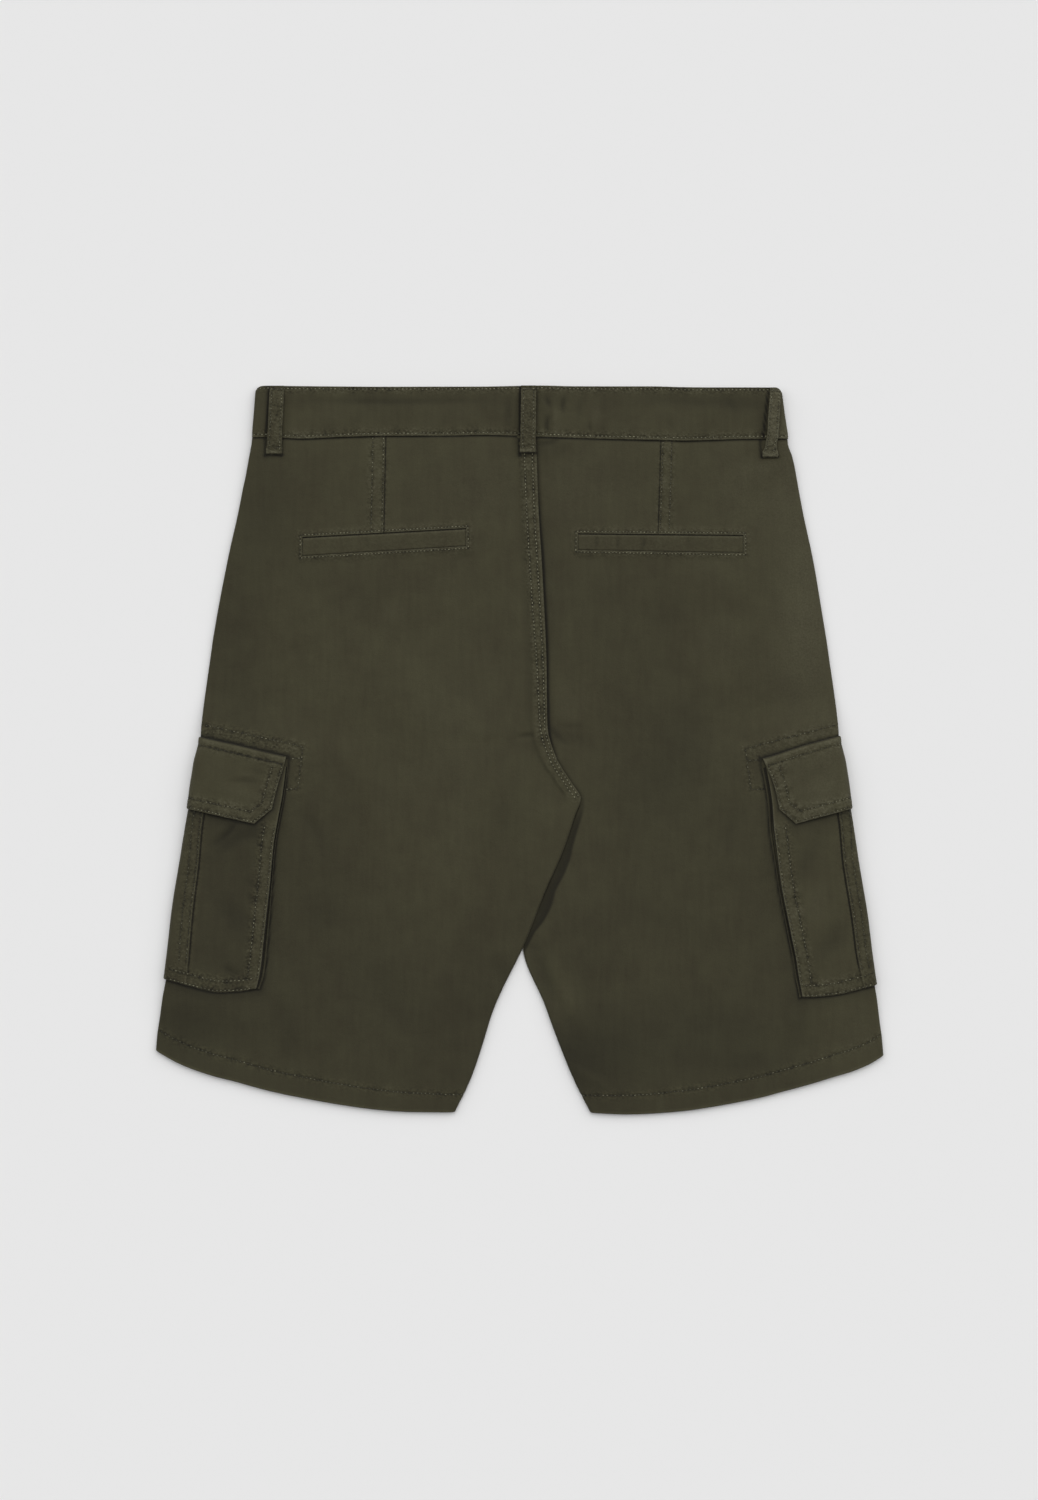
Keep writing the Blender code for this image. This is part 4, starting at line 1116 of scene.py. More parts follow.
def sew(group, points, normals, shade=0, pitch=STITCH_PITCH):
    """Adds stitches along a line of surface points; each lies between two even holes."""
    length = lengths_along(points)
    count = int(length[-1] / pitch)
    if count < 1:
        return
    middle = (np.arange(count) + 0.5) * length[-1] / count
    half = 0.5 * STITCH_SHARE * length[-1] / count
    start, centre, end = (points_at(middle + off, length, points) for off in (-half, 0, half))
    normal = points_at(middle, length, normals)
    add_threads(group, (start + end + 2 * centre) / 4, end - start, normal, THREAD_RADIUS, shade)


def sew_rows(group, rows, place):
    """Stitches along rows; place gives the points and normals of the cloth at a line of theirs."""
    for row in rows:
        points, normals = place(resampled(row.path, SEWING_STEP))
        points[:, 2] = np.maximum(points[:, 2], THREAD_FLOOR)
        sew(group, points, normals, row.shade, row.pitch)


def add_threads(group, centre, reach, normal, radius, shade):
    """Keeps short threads for make_stitches: their middles, end-to-end vectors and normals."""
    radius, shade = np.full(len(centre), radius), np.full(len(centre), shade)
    STITCHES.setdefault(group, []).append((centre, reach, normal, radius, shade))


def bar_tack(middle, width, height):
    """A dense bar of thread on a belt loop: short threads side by side over a width."""
    count = int(width / TACK_PITCH)
    across = (np.arange(count) - (count - 1) / 2) * width / count
    lean = np.where(np.arange(count) % 2, TACK_LEAN, -TACK_LEAN)
    centre = middle + across[:, None] * [1, 0, 0]
    reach = height * stacked(lean, np.ones(count), np.zeros(count))
    normal = np.tile([0, 0, 1], (count, 1))
    add_threads("stitching_loops", centre, reach, normal, TACK_RADIUS, TACK_SHADE)


def make_stitches(group, material):
    """One mesh of all the stitches in a group.

    A stitch is a short thread: rings of six points round its line, thinner and sunk at both ends.
    """
    centre, reach, normal, radius, shade = (np.concatenate(parts) for parts in zip(*STITCHES[group]))
    tangent = unit(reach)
    normal = unit(normal - (normal * tangent).sum(-1, keepdims=True) * tangent)
    sideways = np.cross(tangent, normal)
    centre = centre + STITCH_STRAY * random_values(601, len(centre))[:, None] * sideways
    place, share, dip, ring_shade = np.array(STITCH_RINGS).T
    radius = radius[:, None, None]
    line = centre[:, None] + 0.5 * reach[:, None] * place[:, None]
    line = line + (THREAD_RISE - dip[:, None]) * radius * normal[:, None]
    turn = (np.arange(THREAD_SIDES) * math.tau / THREAD_SIDES)[:, None]
    around = np.cos(turn) * sideways[:, None] + np.sin(turn) * normal[:, None]
    points = line[:, :, None] + (radius * share[:, None])[..., None] * around[:, None]
    grid = np.arange(points[..., 0].size).reshape(points.shape[:3])
    near, far = grid[:, :-1], grid[:, 1:]
    faces = [
        quads(near, far, np.roll(far, -1, axis=2), np.roll(near, -1, axis=2)),
        grid[:, 0],
        grid[:, -1, ::-1],
    ]
    shade = shade + np.interp(random_values(602, len(centre)), (-1, 1), STITCH_SHADES)
    # painted shade darkens each stitch's sunk ends, and the thread of sunk rows
    wear = np.broadcast_to((ring_shade + shade[:, None])[..., None], grid.shape)
    return make_mesh(group, points.reshape(-1, 3), faces, material, wear=stacked(wear, 0))


# ---- waistband

BAND_PUFF = 0.35
BAND_LAP_RISE = CLOTH + 0.4 + SEAM_GAP  # how far its right end lies in over its left end
RIGHT_LIGHT = 0.6  # painted light: the band's right end is paler
RIGHT_END = (186, 206)
BAND_ROWS = {"top": 2.1, "bottom": 2.2}  # distances from the band's edges
BAND_NEAR_EDGE = (0, 0.7, 1.4, 2, 2.5, 3, 3.7, 4.8, 6.2)  # the grid's lines by both its rows
LOOP_AT_END_X = 150  # the loop past this x lies in the band's end with painted light, its right edge against the side
BAND_TROUGHS = (
    (-170, 272, -20, 271.5, -1, 2.6, 0.35), (22, 245, 23.5, 260, 1.2, 1.9, 0.85),
    (20.5, 275, 23.5, 266, 0.6, 2, 0.6), (36, 276, 34, 262, -0.8, 1.9, 0.65),
    (56, 246, 55, 256, 0.4, 1.8, 0.45), (29, 250, 28, 268, -0.5, 2.6, -0.35),
    (50, 276, 47, 254, -0.8, 3.2, 0.3), (59, 250, 61, 268, 0.5, 3.4, -0.25),
    (-9, 247, -7, 275, 0.5, 2.6, 0.3), (96, 272, 190, 268, 1.5, 4.5, 0.25),
    (120, 247, 117, 262, 0.6, 3.2, 0.22), (-60, 247, -57, 262, -0.6, 3.4, 0.2),
    (-128, 247, -126, 259, 0.6, 3, 0.2), (160, 279, 172, 262, -1, 3.4, 0.25),
)


def band_top(x):
    """The upper side of the band's back, which rises over the button."""
    bump = centre_bump(x, BAND_BOTTOM_Y + 0 * x)
    return BAND_LIFT + BAND_CENTRE_RISE * bump + 2 * BAND_FOLD_RADIUS


def band_share(y):
    """How far up the band this y lies, from 0 to 1."""
    return np.clip((y - BAND_BOTTOM_Y) / (BAND_TOP_Y - BAND_BOTTOM_Y), 0, 1)


def off_corner(past):
    """How far a rounded corner of the band lies in from square, past mm into its arc."""
    past = np.clip(past, 0, BAND_CORNER)
    return BAND_CORNER - np.sqrt(BAND_CORNER**2 - past**2)


def band_flat_width(y):
    """Half the band's flat width at this y: it tapers upwards, and its top corners are rounded."""
    low, high = BAND_HALF_WIDTHS
    half_width = low + (high - low) * band_share(y) - off_corner(y - BAND_TOP_Y + BAND_CORNER)
    return half_width - BAND_FOLD_RADIUS


def band_point(c, y):
    """(point, outward normal, unrolled x) on the band's outer face.

    c counts along the strip: -1 to 1 across the back, on to 2 round a side fold, and to 3 along
    the front to its end. The normal turns through half a circle with the fold.
    """
    side, on_back = np.sign(c), np.abs(c) <= 1
    turn = np.clip(np.abs(c) - 1, 0, 1) * math.pi
    front = np.clip(np.abs(c) - 2, 0, 1)
    flat, share = band_flat_width(y), band_share(y)
    centre = float(inner_x(BAND_BOTTOM_Y, "left"))
    end_x = centre - side * BAND_OVERLAP
    x = np.where(on_back, c * flat, side * (flat + BAND_FOLD_RADIUS * np.sin(turn)))
    x = x * (1 - front) + end_x * front
    lapped = ramp(x - centre - BAND_OVERLAP, 12, 2) * (side > 0)
    front_z = band_top(x) - 2 * BAND_FOLD_RADIUS + BAND_LAP_RISE * lapped
    fold_z = BAND_LIFT + BAND_FOLD_RADIUS * (1 + np.cos(turn))
    z = np.where(on_back, band_top(x), np.where(front > 0, front_z, fold_z))
    past_back = BAND_FOLD_RADIUS * turn + front * np.abs(side * flat - end_x)
    unrolled = np.where(on_back, x, side * (flat + past_back))
    y = y + band_rise(x, "bottom") * (1 - share) + band_rise(x, "top") * share
    return stacked(x, y, z), stacked(side * np.sin(turn), 0, np.cos(turn)), unrolled


def band_rows():
    """The band's rows of stitches in its unrolled plane."""
    reach = 400
    heights = (BAND_TOP_Y - BAND_ROWS["top"], BAND_BOTTOM_Y + BAND_ROWS["bottom"])
    return [Row(np.array([(-reach, y), (0, y), (reach, y)]), 201 + 3 * k, 0.9, 0.4)
            for k, y in enumerate(heights)]


def band_relief(unrolled, y):
    """(height, wear) on the band: fuller between its rows, rippled beside them."""
    height, wear = np.zeros_like(y), np.zeros_like(y)
    for row in band_rows():
        off = np.abs(y - row.path[0, 1])
        ripple = unevenness_1d(unrolled, 5.6, row.seed)
        ripple = (ripple + 0.5 * unevenness_1d(unrolled, 2.7, row.seed + 1)) * bell(off, 5)
        channel = bell(off, CHANNEL_WIDTH)
        height += row.strength * (0.36 * ripple - CHANNEL_DEPTH * channel)
        wear += row.strength * (RIPPLE_SHADE * ripple - 0.3 * channel)
    share = band_share(y)
    crease = creased(BAND_TROUGHS, unrolled, y)
    height += BAND_PUFF * np.sin(math.pi * share) ** 0.6 + CREASE_GAIN * crease
    height += 0.2 * unevenness(unrolled, y, 30, 25) + 0.1 * unevenness(unrolled, y, 11, 26)
    from_bottom = y - BAND_BOTTOM_Y
    # painted shade in the troughs and a little above the bottom row; the bottom fold is worn pale
    wear += 1.2 * crease + 0.7 * bell(from_bottom - 0.9, 0.8) - 0.1 * bell(from_bottom - 4, 1.1)
    wear += 0.16 * unevenness(unrolled, y, 24, 27) - 0.14 * ramp(y, 262, 274)
    # painted light on the band's right end
    wear += RIGHT_LIGHT * ramp(unrolled, *RIGHT_END)
    # painted shadow beside the back loops: on their left, and on their right outside the lit end
    for loop in BACK_LOOPS:
        half = loop.width * (1 - loop.narrowing) / 2
        off = unrolled - loop.x_bottom - (loop.x_top - loop.x_bottom) * share
        wear -= 1.7 * bell(off + half + 0.2, 0.9) + 0.35 * bell(off + half, 2.8)
        if loop.x_top < LOOP_AT_END_X:
            wear -= 0.9 * bell(off - half - 0.2, 0.8)
    return height, wear


def band_face(c, y):
    """(point, normal, unrolled x, height, wear) on the band, whose lower face has no raised relief."""
    point, normal, unrolled = band_point(c, y)
    height, wear = band_relief(unrolled, y)
    height = np.where(np.abs(c) > 1.9, np.minimum(height, 0), height)
    return point, normal, unrolled, height, wear


def make_waistband(material):
    """The band: a rounded strip's profile carried along its flattened loop.

    The profile is (y, n): up its outer face, round its top, down its inner face and round its foot,
    n counting inwards from the face as a negative number.
    """
    half = BAND_CLOTH / 2
    near = np.array(BAND_NEAR_EDGE)
    flat_height = BAND_TOP_Y - BAND_BOTTOM_Y - BAND_CLOTH
    middle = np.linspace(near[-1], flat_height - near[-1], 14)[1:-1]
    face = np.concatenate([near, middle, flat_height - near[::-1]]) + BAND_BOTTOM_Y + half
    back = np.linspace(BAND_TOP_Y - half, BAND_BOTTOM_Y + half, 7)
    turn = np.radians([30, 60, 90, 120, 150])
    rise, reach = half * np.sin(turn), half * np.cos(turn)
    y = np.concatenate([face, BAND_TOP_Y - half + rise, back, BAND_BOTTOM_Y + half - rise])
    n = np.concatenate([0 * face, reach - half, -BAND_CLOTH + 0 * back, -half - reach])
    shown = np.clip(1 + n / half, 0, 1)
    c = np.concatenate([
        np.linspace(-3, -2, 76), np.linspace(-2, -1, 10)[1:-1],
        np.linspace(-1, 1, 250), np.linspace(1, 2, 10)[1:-1], np.linspace(2, 3, 76),
    ])
    c, y = np.meshgrid(c, y, indexing="ij")
    point, normal, unrolled, height, wear = band_face(c, y)
    point = point + normal * (n + height * shown)[..., None]
    wear = stacked(wear * shown, gathered(band_rows(), unrolled, y) * shown)
    piece = carry_profile("waistband_cloth", point, material, stacked(unrolled, y), wear)
    for row in band_rows():
        c = np.linspace(-2.97, 2.97, 2400)
        point, normal, _, height, _ = band_face(c, row.path[0, 1] + 0 * c)
        sew("stitching_waistband", point + normal * height[:, None], normal, row.shade, row.pitch)
    return piece


# ---- belt loops

LOOP_ROW_INSET = 2.1
LOOP_STATIONS = np.concatenate([np.linspace(0, 0.84, 38)[:-1], np.linspace(0.84, 1, 26)])
LOOP_FOOT = (0.85, 0.92)  # where the tape's turned end begins, as a share of its length
LOOP_OVER_BAND = 0.35
LOOP_OVER_SEAM = 1.3  # how much higher the centre loop lies on the lapped seam
LOOP_TACKS = (0.05, 0.9)  # where its bars of thread lie
# Half the tape's profile: the offset from its middle and the height, as shares
LOOP_PROFILE = (
    (0, 1), (0.2, 0.98), (0.45, 0.96), (0.64, 0.88), (0.78, 1), (0.9, 1), (0.97, 0.8), (1, 0.45),
)


def loop_centre(loop, share):
    """The underside of a loop's tape along its middle, top to bottom."""
    y = LOOP_TOP_Y + band_rise(loop.x_top, "top") - share * (LOOP_TOP_Y - loop.bottom_y)
    x = loop.x_top + (loop.x_bottom - loop.x_top) * share
    if loop.front:
        return x, y, np.full_like(y, LOOP_CLOTH - 0.1)
    on_band = band_top(x) + LOOP_OVER_BAND
    on_panel = back_top(x, y, "left" if loop.x_top < inner_x(y[0, 0], "left") else "right")
    if loop.name == "belt_loop_centre_back":
        on_panel = on_panel + LOOP_OVER_SEAM
    past_band = ramp(BAND_BOTTOM_Y - y, -3, 8)
    under = np.maximum(on_band, on_panel) * (1 - past_band) + on_panel * past_band
    arch = LOOP_ARCH * ramp(share, *LOOP_LEAVES_BAND) * ramp(share, *LOOP_MEETS_PANEL)
    return x, y, under + SEAM_GAP + arch


def make_loop(loop, material):
    """A belt loop: a folded tape's profile carried over the band, its raw end spread a little."""
    share = LOOP_STATIONS[:, None]
    x, y, under = loop_centre(loop, share)
    down = -1 if loop.front else 1
    half = loop.width / 2
    foot = ramp(share, *LOOP_FOOT) * (not loop.front)
    flare = 1 - loop.narrowing * (1 - foot) + 0.02 * unevenness_1d(share, 0.12, len(loop.name))
    flare -= 0.06 * ramp(share, 0.975, 1)
    x = x + 0.5 * loop.narrowing * half * (1 - foot)
    offset, upper = np.array(LOOP_PROFILE).T
    offset = half * np.concatenate([-offset[:0:-1], offset])
    upper = np.concatenate([upper[:0:-1], upper])
    profile_x = np.concatenate([offset, offset[::-1]])
    profile_z = np.concatenate([upper * LOOP_CLOTH, 0.1 + 0 * offset])
    shown = np.repeat([1, 0], len(offset))

    def lean(across):
        return loop.left_edge_up * (0.5 - across / loop.width) * np.sin(math.pi * share)

    grid_x = x + flare * profile_x
    seam = bell(np.abs(profile_x) - (half - LOOP_ROW_INSET), 1.3)
    ripple = unevenness_1d(y + 9 * np.sign(profile_x), 3.4, 300 + len(loop.name)) * seam
    ripple = (ripple + 0.5 * unevenness(grid_x, y, 4.5, 310)) * shown
    tacked = sum(bell(share - tack, 0.02) for tack in LOOP_TACKS)
    end_rounding = foot * (1 - 0.8 * ramp(share, 0.97, 1) ** 2)
    lift = profile_z + 0.17 * ripple + (0.45 * end_rounding - 0.35 * tacked) * shown
    lift -= 0.3 * (1 - end_rounding) * foot
    grid_z = np.maximum(under + down * lift + lean(profile_x), 0)
    corner_drop = off_corner(np.abs(grid_x) - BAND_HALF_WIDTHS[1] + BAND_CORNER)
    points = stacked(grid_x, y - corner_drop * ramp(share, 0.2, 0), grid_z)
    edge = np.abs(profile_x) / half
    # worn pale lines near the tape's edges, and painted shade where its edges turn under
    wear = 0.6 * bell(edge - 0.9, 0.07) - 1.2 * ramp(edge, 0.95, 1) + 0.45 * ripple - 0.1
    wear += 1.6 * bell(share - 0.957, 0.018) * (not loop.front) - 0.7 * tacked
    # painted light on the loop in the band's lit end, and painted shade below its turned end
    wear += 1.6 * RIGHT_LIGHT * (loop.x_top > LOOP_AT_END_X) - 1.8 * ramp(share, 0.978, 0.992)
    piece = carry_profile(loop.name + "_cloth", points, material, points[..., :2], stacked(wear, shown))
    top = LOOP_CLOTH * 0.9
    normal = np.zeros((len(share), 3))
    normal[:, 2] = down
    for row in (LOOP_ROW_INSET - half, half - LOOP_ROW_INSET):
        line = np.concatenate([x + row * flare, y, under + down * top + lean(row)], axis=1)[1:-2]
        line[:, 2] = np.maximum(line[:, 2], 0.2)
        sew("stitching_loops", line, normal[1:-2], -0.1, 2.6)
    for tack in () if loop.front else LOOP_TACKS:
        middle = points_at(tack, LOOP_STATIONS, np.concatenate([x, y, under + lean(0)], axis=1))
        bar_tack(middle + [0, 0, top - 0.15], loop.width * (1 - loop.narrowing) - 1.6, 1.3)
    return piece


# ---- welts

WELT_TOP = 0.75
WELT_CLOTH = 1
WELT_DEPTH = 13.4
WELT_SPACING = (1.4, 0.9)  # mm between grid lines, along the welt and across it
WELT_TROUGHS = {
    "left": (
        (-120, 166, -117, 156, 0.3, 2.5, 0.15),
    ),
    "right": (
        (60.5, 168, 60, 156, 0.3, 1.3, 0.4), (78, 168, 77, 156, -0.3, 1.3, 0.35),
        (98, 168, 96.5, 156, 0.3, 1.5, 0.45), (132, 168, 133, 156, 0.3, 2.2, 0.2),
    ),
}
WELT_SLIT = 0.75  # the mouth's gap along the welt's top


def make_welt(side, material):
    """A welt: a pillowed strip inside its frame, with a mouth left open along its top over painted
    shade.
    """
    top_left, top_right, bottom_right, bottom_left = welt_corners(side)
    width = np.linalg.norm(top_right - top_left)
    s, t = np.meshgrid(*(
        grid_lines([size], [1, 1], spacing)
        for size, spacing in zip((width, WELT_DEPTH), WELT_SPACING)
    ))
    x, top = ((top_left + (top_right - top_left) * s[..., None]) - [0, WELT_SLIT]).transpose(2, 0, 1)
    bottom = bottom_left[1] + (bottom_right[1] - bottom_left[1]) * s + 0.1
    y = top + (bottom - top) * t
    inside = np.minimum(np.minimum(s, 1 - s) * width, np.minimum(t, 1 - t) * WELT_DEPTH)
    crease = creased(WELT_TROUGHS[side], x, y)
    height = WELT_TOP * rounded(inside, 1.1) + 0.18 * np.sin(math.pi * t)
    height += crease + 0.1 * unevenness(x, y, 9, 41) + back_swell(x, y)
    z = back_top(x, y, side) + CREASE_GAIN * creased(BACK_CREASES[side], x, y) + height
    # worn pale along its top; painted shade in its creases and round its edges, most at its top
    wear = 0.7 * bell(t * WELT_DEPTH - 0.8, 0.8) + 1.8 * crease
    wear -= (0.9 - 0.6 * ramp(t, 0.3, 0.6)) * bell(inside, 0.5)
    outside, under = stacked(x, y, z), stacked(x, y, z - WELT_CLOTH)
    return make_shell(f"welt_{side}_cloth", outside, under, material, stacked(wear, 0.25))


# ---- cargo pockets and flaps

FOLD_QUARTER = LEG_HEIGHT / 2 * math.pi / 2  # the unrolled length of a quarter of a side fold


def unrolled(across):
    """The unrolled distance from the fold's middle of a point across mm in from the outseam."""
    return across - LEG_HEIGHT / 2 + FOLD_QUARTER


def rolled(w):
    """How far in from the outseam a point of the unrolled plane lies: 0 round the fold itself."""
    return np.where(np.abs(w) > FOLD_QUARTER, LEG_HEIGHT / 2 + np.abs(w) - FOLD_QUARTER, 0)


def mirrored(rows):
    """Rows of stitches in the unrolled plane, and the same ones on its lower side."""
    return rows + [row._replace(path=row.path * [-1, 1], seed=row.seed + 50) for row in rows]


def between_marks(marks, lines):
    """Where grid lines lie between marks that differ from point to point, (marks, rows, columns)."""
    k = np.minimum(lines.astype(int), len(marks) - 2)
    part = lines - k
    columns = np.arange(len(lines))
    return marks[k, :, columns].T * (1 - part) + marks[k + 1, :, columns].T * part


def leg_point(side, along, w, lift):
    """(point, outward normal) on a leg's outside, moved out by lift.

    w is the unrolled distance from the middle of the side fold, positive on the upper side: up to
    a quarter circle it turns round the fold, and past it the point lies on the flat.
    """
    sign, radius = SIGN[side], LEG_HEIGHT / 2
    slope = math.radians(POCKET_SLOPES[side])
    turned = np.clip(w / radius, -math.pi / 2, math.pi / 2)
    flat = np.abs(w) > FOLD_QUARTER
    edge_x = outseam_x(along)
    inward = np.where(flat, rolled(w), radius - (radius + lift) * np.cos(turned))
    x = sign * (edge_x - inward * math.cos(slope))
    y = along - inward * math.sin(slope)
    fold_z = front_under(sign * edge_x, along, side) + radius + (radius + lift) * np.sin(turned)
    flat_z = np.where(w > 0, back_top(x, y, side) + lift, front_under(x, y, side) - lift)
    outward = np.where(flat, 0, np.cos(turned))
    upward = np.where(flat, np.sign(w), np.sin(turned))
    normal = stacked(sign * math.cos(slope) * outward, math.sin(slope) * outward, upward)
    return stacked(x, y, np.where(flat, flat_z, fold_z)), normal


def puff(along, across):
    """How far the filled pocket stands off the leg on its upper side."""
    down = ramp(along, *PUFF_STARTS) * ramp(along, *PUFF_WANES)
    share = PUFF_AT_TOP + (1 - PUFF_AT_TOP) * down
    return POCKET_PUFF * share * ramp(across, *PUFF_ACROSS) * ramp(along, *PUFF_ENDS)


def pocket_edge(side, along, name):
    """How far in from the outseam the pocket's "edge" or its "pleat" lies."""
    return curve(POCKET_EDGES, f"{side}_{name}", along)


def pocket_bottom(side, share):
    """The along of the pocket's bottom seam, at a share of the way in from the outseam."""
    return curve(POCKET_BOTTOM, side, share)


def gusset_width(side, along):
    """How far the gusset's foot lies past the face's edge: it gapes above the bottom corner."""
    down = -np.asarray(along)
    top, narrow, wide = GUSSET_WIDTHS[side]
    narrow = top + (narrow - top) * ramp(down, 52, 80)
    return narrow + (wide - narrow) * ramp(down, 70, 148) * (1 - 0.6 * ramp(down, 158, 177))


def on_flat(w):
    """0 round the side fold and 1 on the flat, for relief that the fold pulls smooth."""
    return ramp(np.abs(w), 0.5 * FOLD_QUARTER, FOLD_QUARTER + 2)


GUSSET_WIDTHS = {"left": (1.5, 1.5, 3.5), "right": (3.6, 2.4, 2.7)}
FACE_SHADE = {"left": 0.27, "right": 0}  # painted shade: the left face has sunk and is darker
PLEAT_SHADE = {"left": 2, "right": 2.8}  # how dark the painted shade at the pleat's foot is
STRIP_LIGHT = {"left": 0.16, "right": 0.24}  # the hemmed strip by the pocket's edge is paler
NOMINAL_ALONG = -100  # the pocket's grid lines are shared out by its widths here
POCKET_SPACING = (1.5, 1.9)  # mm between grid lines, round the leg and down it
INSIDE_FLOOR = 0.05  # the pocket's inside stays this high above the ground
POCKET_ROW_OFFSETS = (1.4, 9)  # from the face's edge and from the bottom seam
PLEAT_ROW_OFFSETS = (1.3, 7.2)
POCKET_CREASES = {
    "left": (
        (58, -52, 24, -78, -4, 5, 0.55), (37, -47, 20, -70, 2, 3.4, 0.5),
        (38, -47, 21, -70, 2, 1.5, 0.3), (52, -56, 60, -58, 0.5, 1.6, 0.35),
        (56, -72, 66, -75, 0.5, 1.6, 0.4), (54, -101, 66, -104, -0.5, 1.8, 0.4),
        (55, -118, 68, -120, 0.5, 1.7, 0.4), (58, -134, 69, -137, 0.5, 1.7, 0.45),
        (4, -92, 12, -95, 0.4, 2, 0.4), (4, -112, 13, -116, 0.4, 2.2, 0.35),
        (30, -110, 56, -132, 4, 9, 0.45), (60, -150, 66, -170, 1, 3, 0.5),
        (44, -158, 60, -164, -2, 3, 0.55), (50, -90, 64, -96, 0.5, 3, 0.25),
    ),
    "right": (
        (20, -60, 48, -92, 4, 9, 0.45), (50, -84, 60, -88, 0.5, 1.7, 0.4),
        (48, -68, 57, -71, 0.4, 1.6, 0.4), (47, -100, 58, -104, -0.5, 1.7, 0.4),
        (46, -138, 57, -141, 0.5, 1.8, 0.4), (16, -128, 46, -150, -4, 9, 0.5),
        (44, -160, 54, -174, 1.5, 4, 0.4), (48, -120, 58, -124, -0.5, 2.6, 0.25),
        (30, -96, 40, -126, 3, 7, -0.3),
    ),
}


def pocket_rows(side):
    """The pocket's rows of stitches in its unrolled plane (w, along)."""
    along = np.linspace(-46, float(pocket_bottom(side, 1)) + 8, 60)
    edge, pleat = (unrolled(pocket_edge(side, along, name)) for name in ("edge", "pleat"))
    share = np.linspace(0, 1, 60)
    bottom = pocket_bottom(side, share)
    bottom_w = unrolled(share * pocket_edge(side, bottom, "edge"))
    rows = []
    for k, offset in enumerate(POCKET_ROW_OFFSETS):
        rows.append(Row(stacked(edge - offset, along), 401 + k, (0.6, 0.9)[k], -0.15))
        rows.append(Row(stacked(bottom_w, bottom + offset)[2:-3], 411 + k, 0.95))
    for k, offset in enumerate(PLEAT_ROW_OFFSETS):
        rows.append(Row(stacked(pleat - offset, along), 421 + k, 0.6, -0.6))
    return mirrored(rows)


def pocket_surface(side, along, w):
    """(height above the leg, wear) of the pocket's outside in its unrolled plane.

    The pleat band by the outseam stands above the face and ends at a sunk foot darkened with painted
    shade; the face is filled at its middle, creased and rippled along its rows, and its edge is hemmed
    and worn pale. Painted shadow falls on it under the flap.
    """
    across, upper = rolled(w), w > 0
    in_from_edge = pocket_edge(side, along, "edge") - across
    past_pleat = across - pocket_edge(side, along, "pleat")
    open_pleat = 0.25 + 0.75 * ramp(along, -172, -160)
    foot = bell(past_pleat - 0.85, 0.6) * open_pleat
    crease = creased(POCKET_CREASES[side], np.where(upper, across, -across), along)
    relief, wear = sewn_relief(POCKET_ROWS[side], w, along)
    relief += CREASE_GAIN * crease + 0.24 * unevenness(w, along, 26, 45)
    relief += 0.2 * bell(in_from_edge - 4, 6)
    height = POCKET_GAP + CLOTH + np.where(upper, puff(along, across), 0)
    height += PLEAT_RISE * ramp(past_pleat, 0.55, -0.1) - 0.45 * foot + relief * on_flat(w)
    on_face = ramp(past_pleat, 0, 6) * ramp(-in_from_edge, -7, -13)
    wear += 0.75 * bell(past_pleat + 0.5, 0.6) - PLEAT_SHADE[side] * foot + 0.8 * crease
    wear += 1.1 * bell(in_from_edge, 1) - FACE_SHADE[side] * (on_face + 0.5)
    wear += STRIP_LIGHT[side] * ramp(in_from_edge, 13, 8)
    under_flap = from_outline(side, w, along)
    # painted shadow under the flap's free edge
    return height, wear - 0.9 * bell(under_flap, 1.7) - 0.5 * bell(under_flap, 9)


